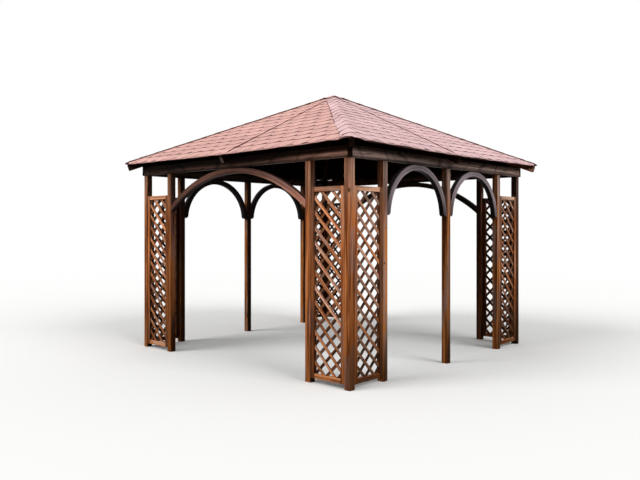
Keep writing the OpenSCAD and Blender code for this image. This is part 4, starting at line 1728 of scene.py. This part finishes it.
def cap_height(point):
    """Height of the cap's upper side: bent over the apex, a little dented, its corners curled."""
    sag = CAP_SAG * noise.noise(Vector((point.x * CAP_WAVES, point.y * CAP_WAVES, 2.0)))
    curl = CAP_CURL * smooth(abs(point.x) + abs(point.y), CURL_FROM, CURL_FULL)
    surface = roof_z(point.x, point.y, CAP_BEND)
    top = surface - covering_t + SHEET_T * CAP_LEVEL + sag + curl
    return min(top, apex_z - CAP_BELOW)


def apex_cap():
    """The square sheet over the apex."""
    stock = Stock()
    outline = rectangle(-CAP_REACH, -CAP_REACH, CAP_REACH, CAP_REACH)
    for corner in ((1, 1), (-1, 1), (-1, -1), (1, -1)):
        outline = split(outline, Vector(corner), 2 * CAP_REACH - CAP_CLIP)[0]
    directions = ((1, 0), (0, 1), (1, 1), (1, -1))
    folds = [(Vector(direction), offset) for direction in directions for offset in CAP_FOLDS]
    add_sheet(stock, 0, cut_by([outline], folds), cap_height, CAP_TONE, 0.0, 0.0)
    cap = shingle_material("apex_cap_granules", 1, *NO_SHADE)
    return stock.build("apex_cap", [cap, bitumen, bitumen])


apex_cap()

# %% [markdown]
# ## Sealed cuts
#
# The straight cuts beside the hips and along the seams are stuck down with black roofing cement,
# and a thin, uneven bead of it squeezes out. From the ground it reads as a fine dark line, and
# it is partly painted shade: it also stands for the thin shadow under the lapped edge. A bead
# is a tube of six-sided rings, and noise makes it thicker here and thinner there.

# %% A bead of uneven thickness
BEAD_SIDES = 6
BEAD_FLATTENED = 1.6                  # how much wider than high the soft cement settles
BEAD_END = 0.25                       # what is left of its thickness at both ends
BEAD_LEAST = 0.20
SLOW_SWELL, QUICK_SWELL = (4.0, 1.5), (11.0, 0.7)   # swells for each metre, and their share


def bead(stock, points, radius):
    """A bead of uneven thickness through the points."""
    corners = []
    for i, point in enumerate(points):
        along = (points[min(i + 1, len(points) - 1)] - points[max(i - 1, 0)]).normalized()
        sideways = along.cross(UP).normalized()
        swell = BEAD_LEAST
        for per_metre, share in (SLOW_SWELL, QUICK_SWELL):
            swell += share * abs(noise.noise(point * per_metre))
        r = radius * swell
        r *= BEAD_END if i in (0, len(points) - 1) else 1.0
        for j in range(BEAD_SIDES):
            angle = math.tau * j / BEAD_SIDES
            wide = sideways * (r * BEAD_FLATTENED * math.cos(angle))
            corners.append(point + wide + UP * (r * math.sin(angle)))
    faces = joined_rings(BEAD_SIDES, len(points))
    stock.add(corners, faces, [Vector((0, 0, 0))] * len(corners), 1.0)


print("a bead has", BEAD_SIDES, "sides")

# %% Roofing cement along the cuts
BEAD_STEP = 0.025
BEAD_AHEAD = 0.002                    # how far the bead lies before the cut
WOBBLE, WOBBLE_SIZE = 0.003, 23       # how far it strays to the side, and how often in a metre
# Of each kind of bead: where it starts and ends below the apex, height in sheets, and radius
HIP_BEAD = (WRAP + 0.06, eave - 0.35, 3.4, 0.0018)
SEAM_BEAD = (0.10, eave - 0.02, 4.0, 0.0042)


def cement_line(stock, side, along_at, start, end, level, radius):
    """A bead down one face. along_at(out) gives where it runs."""
    line, out = [], start
    while out < end:
        along = along_at(out)
        wobble = WOBBLE * noise.noise(Vector((out * WOBBLE_SIZE, side, along)))
        height = roof_z(along, out) - covering_t + SHEET_T * level
        line.append(turned(side, along + wobble, out, height))
        out += BEAD_STEP
    bead(stock, line, radius)


def hip_cut(hand):
    """Where tabs bent over a hip end, as seen from the face they end on."""
    return lambda out: -hand * (out - WRAP - BEAD_AHEAD)


def seam_cut(hand):
    """Where the lapping half of a face ends."""
    return lambda out: -hand * (SEAM_LAP + SEAM_SPREAD * out + BEAD_AHEAD)


def cement_beads():
    """All beads, as one piece: the tabs bent over a hip end on the next face."""
    stock = Stock()
    for side, hand in sorted(WRAPPING):
        cement_line(stock, (side + hand) % 4, hip_cut(hand), *HIP_BEAD)
    for side, hand in enumerate(LAPPING_HAND):
        cement_line(stock, side, seam_cut(hand), *SEAM_BEAD)
    return stock.build("roofing_cement", [bitumen], smooth=True)


cement_beads()

# %% [markdown]
# ## Floor and backdrop
#
# The gazebo stands on a plain pale floor before a white backdrop. Only the camera sees the floor
# pale: to the timber it is as dark as ground is, or the roof's underside would glow. Far away the
# floor fades into the backdrop, so no horizon shows. Both are tricks of the studio, and the
# Light Path node tells the material who is looking.

# %% Floor
FLOOR_HALF = 60
FLOOR_PALE = (0.90, 0.90, 0.89, 1)
FLOOR_SEEN_BY_WOOD = (0.06, 0.05, 0.04, 1)
WHITE = (1.0, 1.0, 1.0, 1)
FADE_FROM, FADE_TO = 5.0, 18.0


def seen_directly(bench):
    """1 for the camera, for mirrors and through glass, 0 for light that strays between surfaces."""
    path = bench.node("ShaderNodeLightPath").outputs
    direct = bench.math("MAXIMUM", path["Is Camera Ray"], path["Is Glossy Ray"])
    return bench.math("MAXIMUM", direct, path["Is Transmission Ray"])


floor_material, bench, shader = new_material("pale_floor")
bench.feed(shader["Base Color"], bench.mix(seen_directly(bench), FLOOR_SEEN_BY_WOOD, FLOOR_PALE))
shader["Roughness"].default_value = 0.9
shader["Specular IOR Level"].default_value = 0.0
distance = bench.vector("LENGTH", bench.node("ShaderNodeTexCoord").outputs["Object"])
far = bench.math("MULTIPLY", bench.ramp(distance, FADE_FROM, FADE_TO), seen_directly(bench))
glow = bench.node("ShaderNodeEmission", {"Color": WHITE, "Strength": 1.0})
surface = floor_material.node_tree.nodes["Principled BSDF"].outputs[0]
blend = bench.node("ShaderNodeMixShader", {0: far, 1: surface, 2: glow.outputs[0]})
output = floor_material.node_tree.nodes["Material Output"]
bench.feed(output.inputs["Surface"], blend.outputs[0])

floor_mesh = bpy.data.meshes.new("floor")
corners = [(x * FLOOR_HALF, y * FLOOR_HALF, 0) for x, y in ((-1, -1), (1, -1), (1, 1), (-1, 1))]
floor_mesh.from_pydata(corners, [], [(0, 1, 2, 3)])
floor_mesh.materials.append(floor_material)
floor = bpy.data.objects.new("floor", floor_mesh)
bpy.context.scene.collection.objects.link(floor)
print(f"floor {2 * FLOOR_HALF} m wide, white from {FADE_TO:.0f} m")

# %% [markdown]
# ## Sky and lamps
#
# The light is that of an overcast day: a soft sky that is brightest overhead, and two wide
# lamps, one high on the right and one high in front, for the brighter parts of the clouds. A
# lamp as wide as 35 degrees draws no sharp shadow. The lamps are set so that a colour renders
# about as it is written.

# %% Sky and lamps
SKY_LOW, SKY_HIGH = 0.02, 0.62
SKY_FROM, SKY_TO = 0.15, 0.75         # how high the sky's light begins, and where it is full
LAMPS = {"right_lamp": ((0.80, -0.02, 0.55), 1.6), "front_lamp": ((-0.30, -0.75, 0.58), 1.7)}
LAMP_WIDTH = math.radians(35)
world = bpy.data.worlds.new("overcast_sky")
world.use_nodes = True
world.node_tree.nodes.clear()
bench = Bench(world.node_tree)
height = bench.axes(bench.node("ShaderNodeTexCoord").outputs["Generated"])["Z"]
overcast = bench.ramp(height, SKY_FROM, SKY_TO, SKY_LOW, SKY_HIGH)
seen = seen_directly(bench)
hidden = bench.math("SUBTRACT", 1.0, seen)
strength = bench.math("ADD", seen, bench.math("MULTIPLY", overcast, hidden))
background = bench.node("ShaderNodeBackground", {"Color": WHITE, "Strength": strength})
bench.node("ShaderNodeOutputWorld", {"Surface": background.outputs[0]})
bpy.context.scene.world = world

for name, (direction, strength) in LAMPS.items():
    lamp_data = bpy.data.lights.new(name, "SUN")
    lamp_data.energy = strength
    lamp_data.angle = LAMP_WIDTH
    lamp = bpy.data.objects.new(name, lamp_data)
    lamp.rotation_euler = Vector(direction).to_track_quat("Z", "Y").to_euler()
    bpy.context.scene.collection.objects.link(lamp)
bpy.context.scene.view_settings.view_transform = "Standard"
print("sky", SKY_LOW, "to", SKY_HIGH, "lamps", ", ".join(LAMPS))

# %% [markdown]
# ## Finish
#
# The visual model must stay inside the box of the packed one.
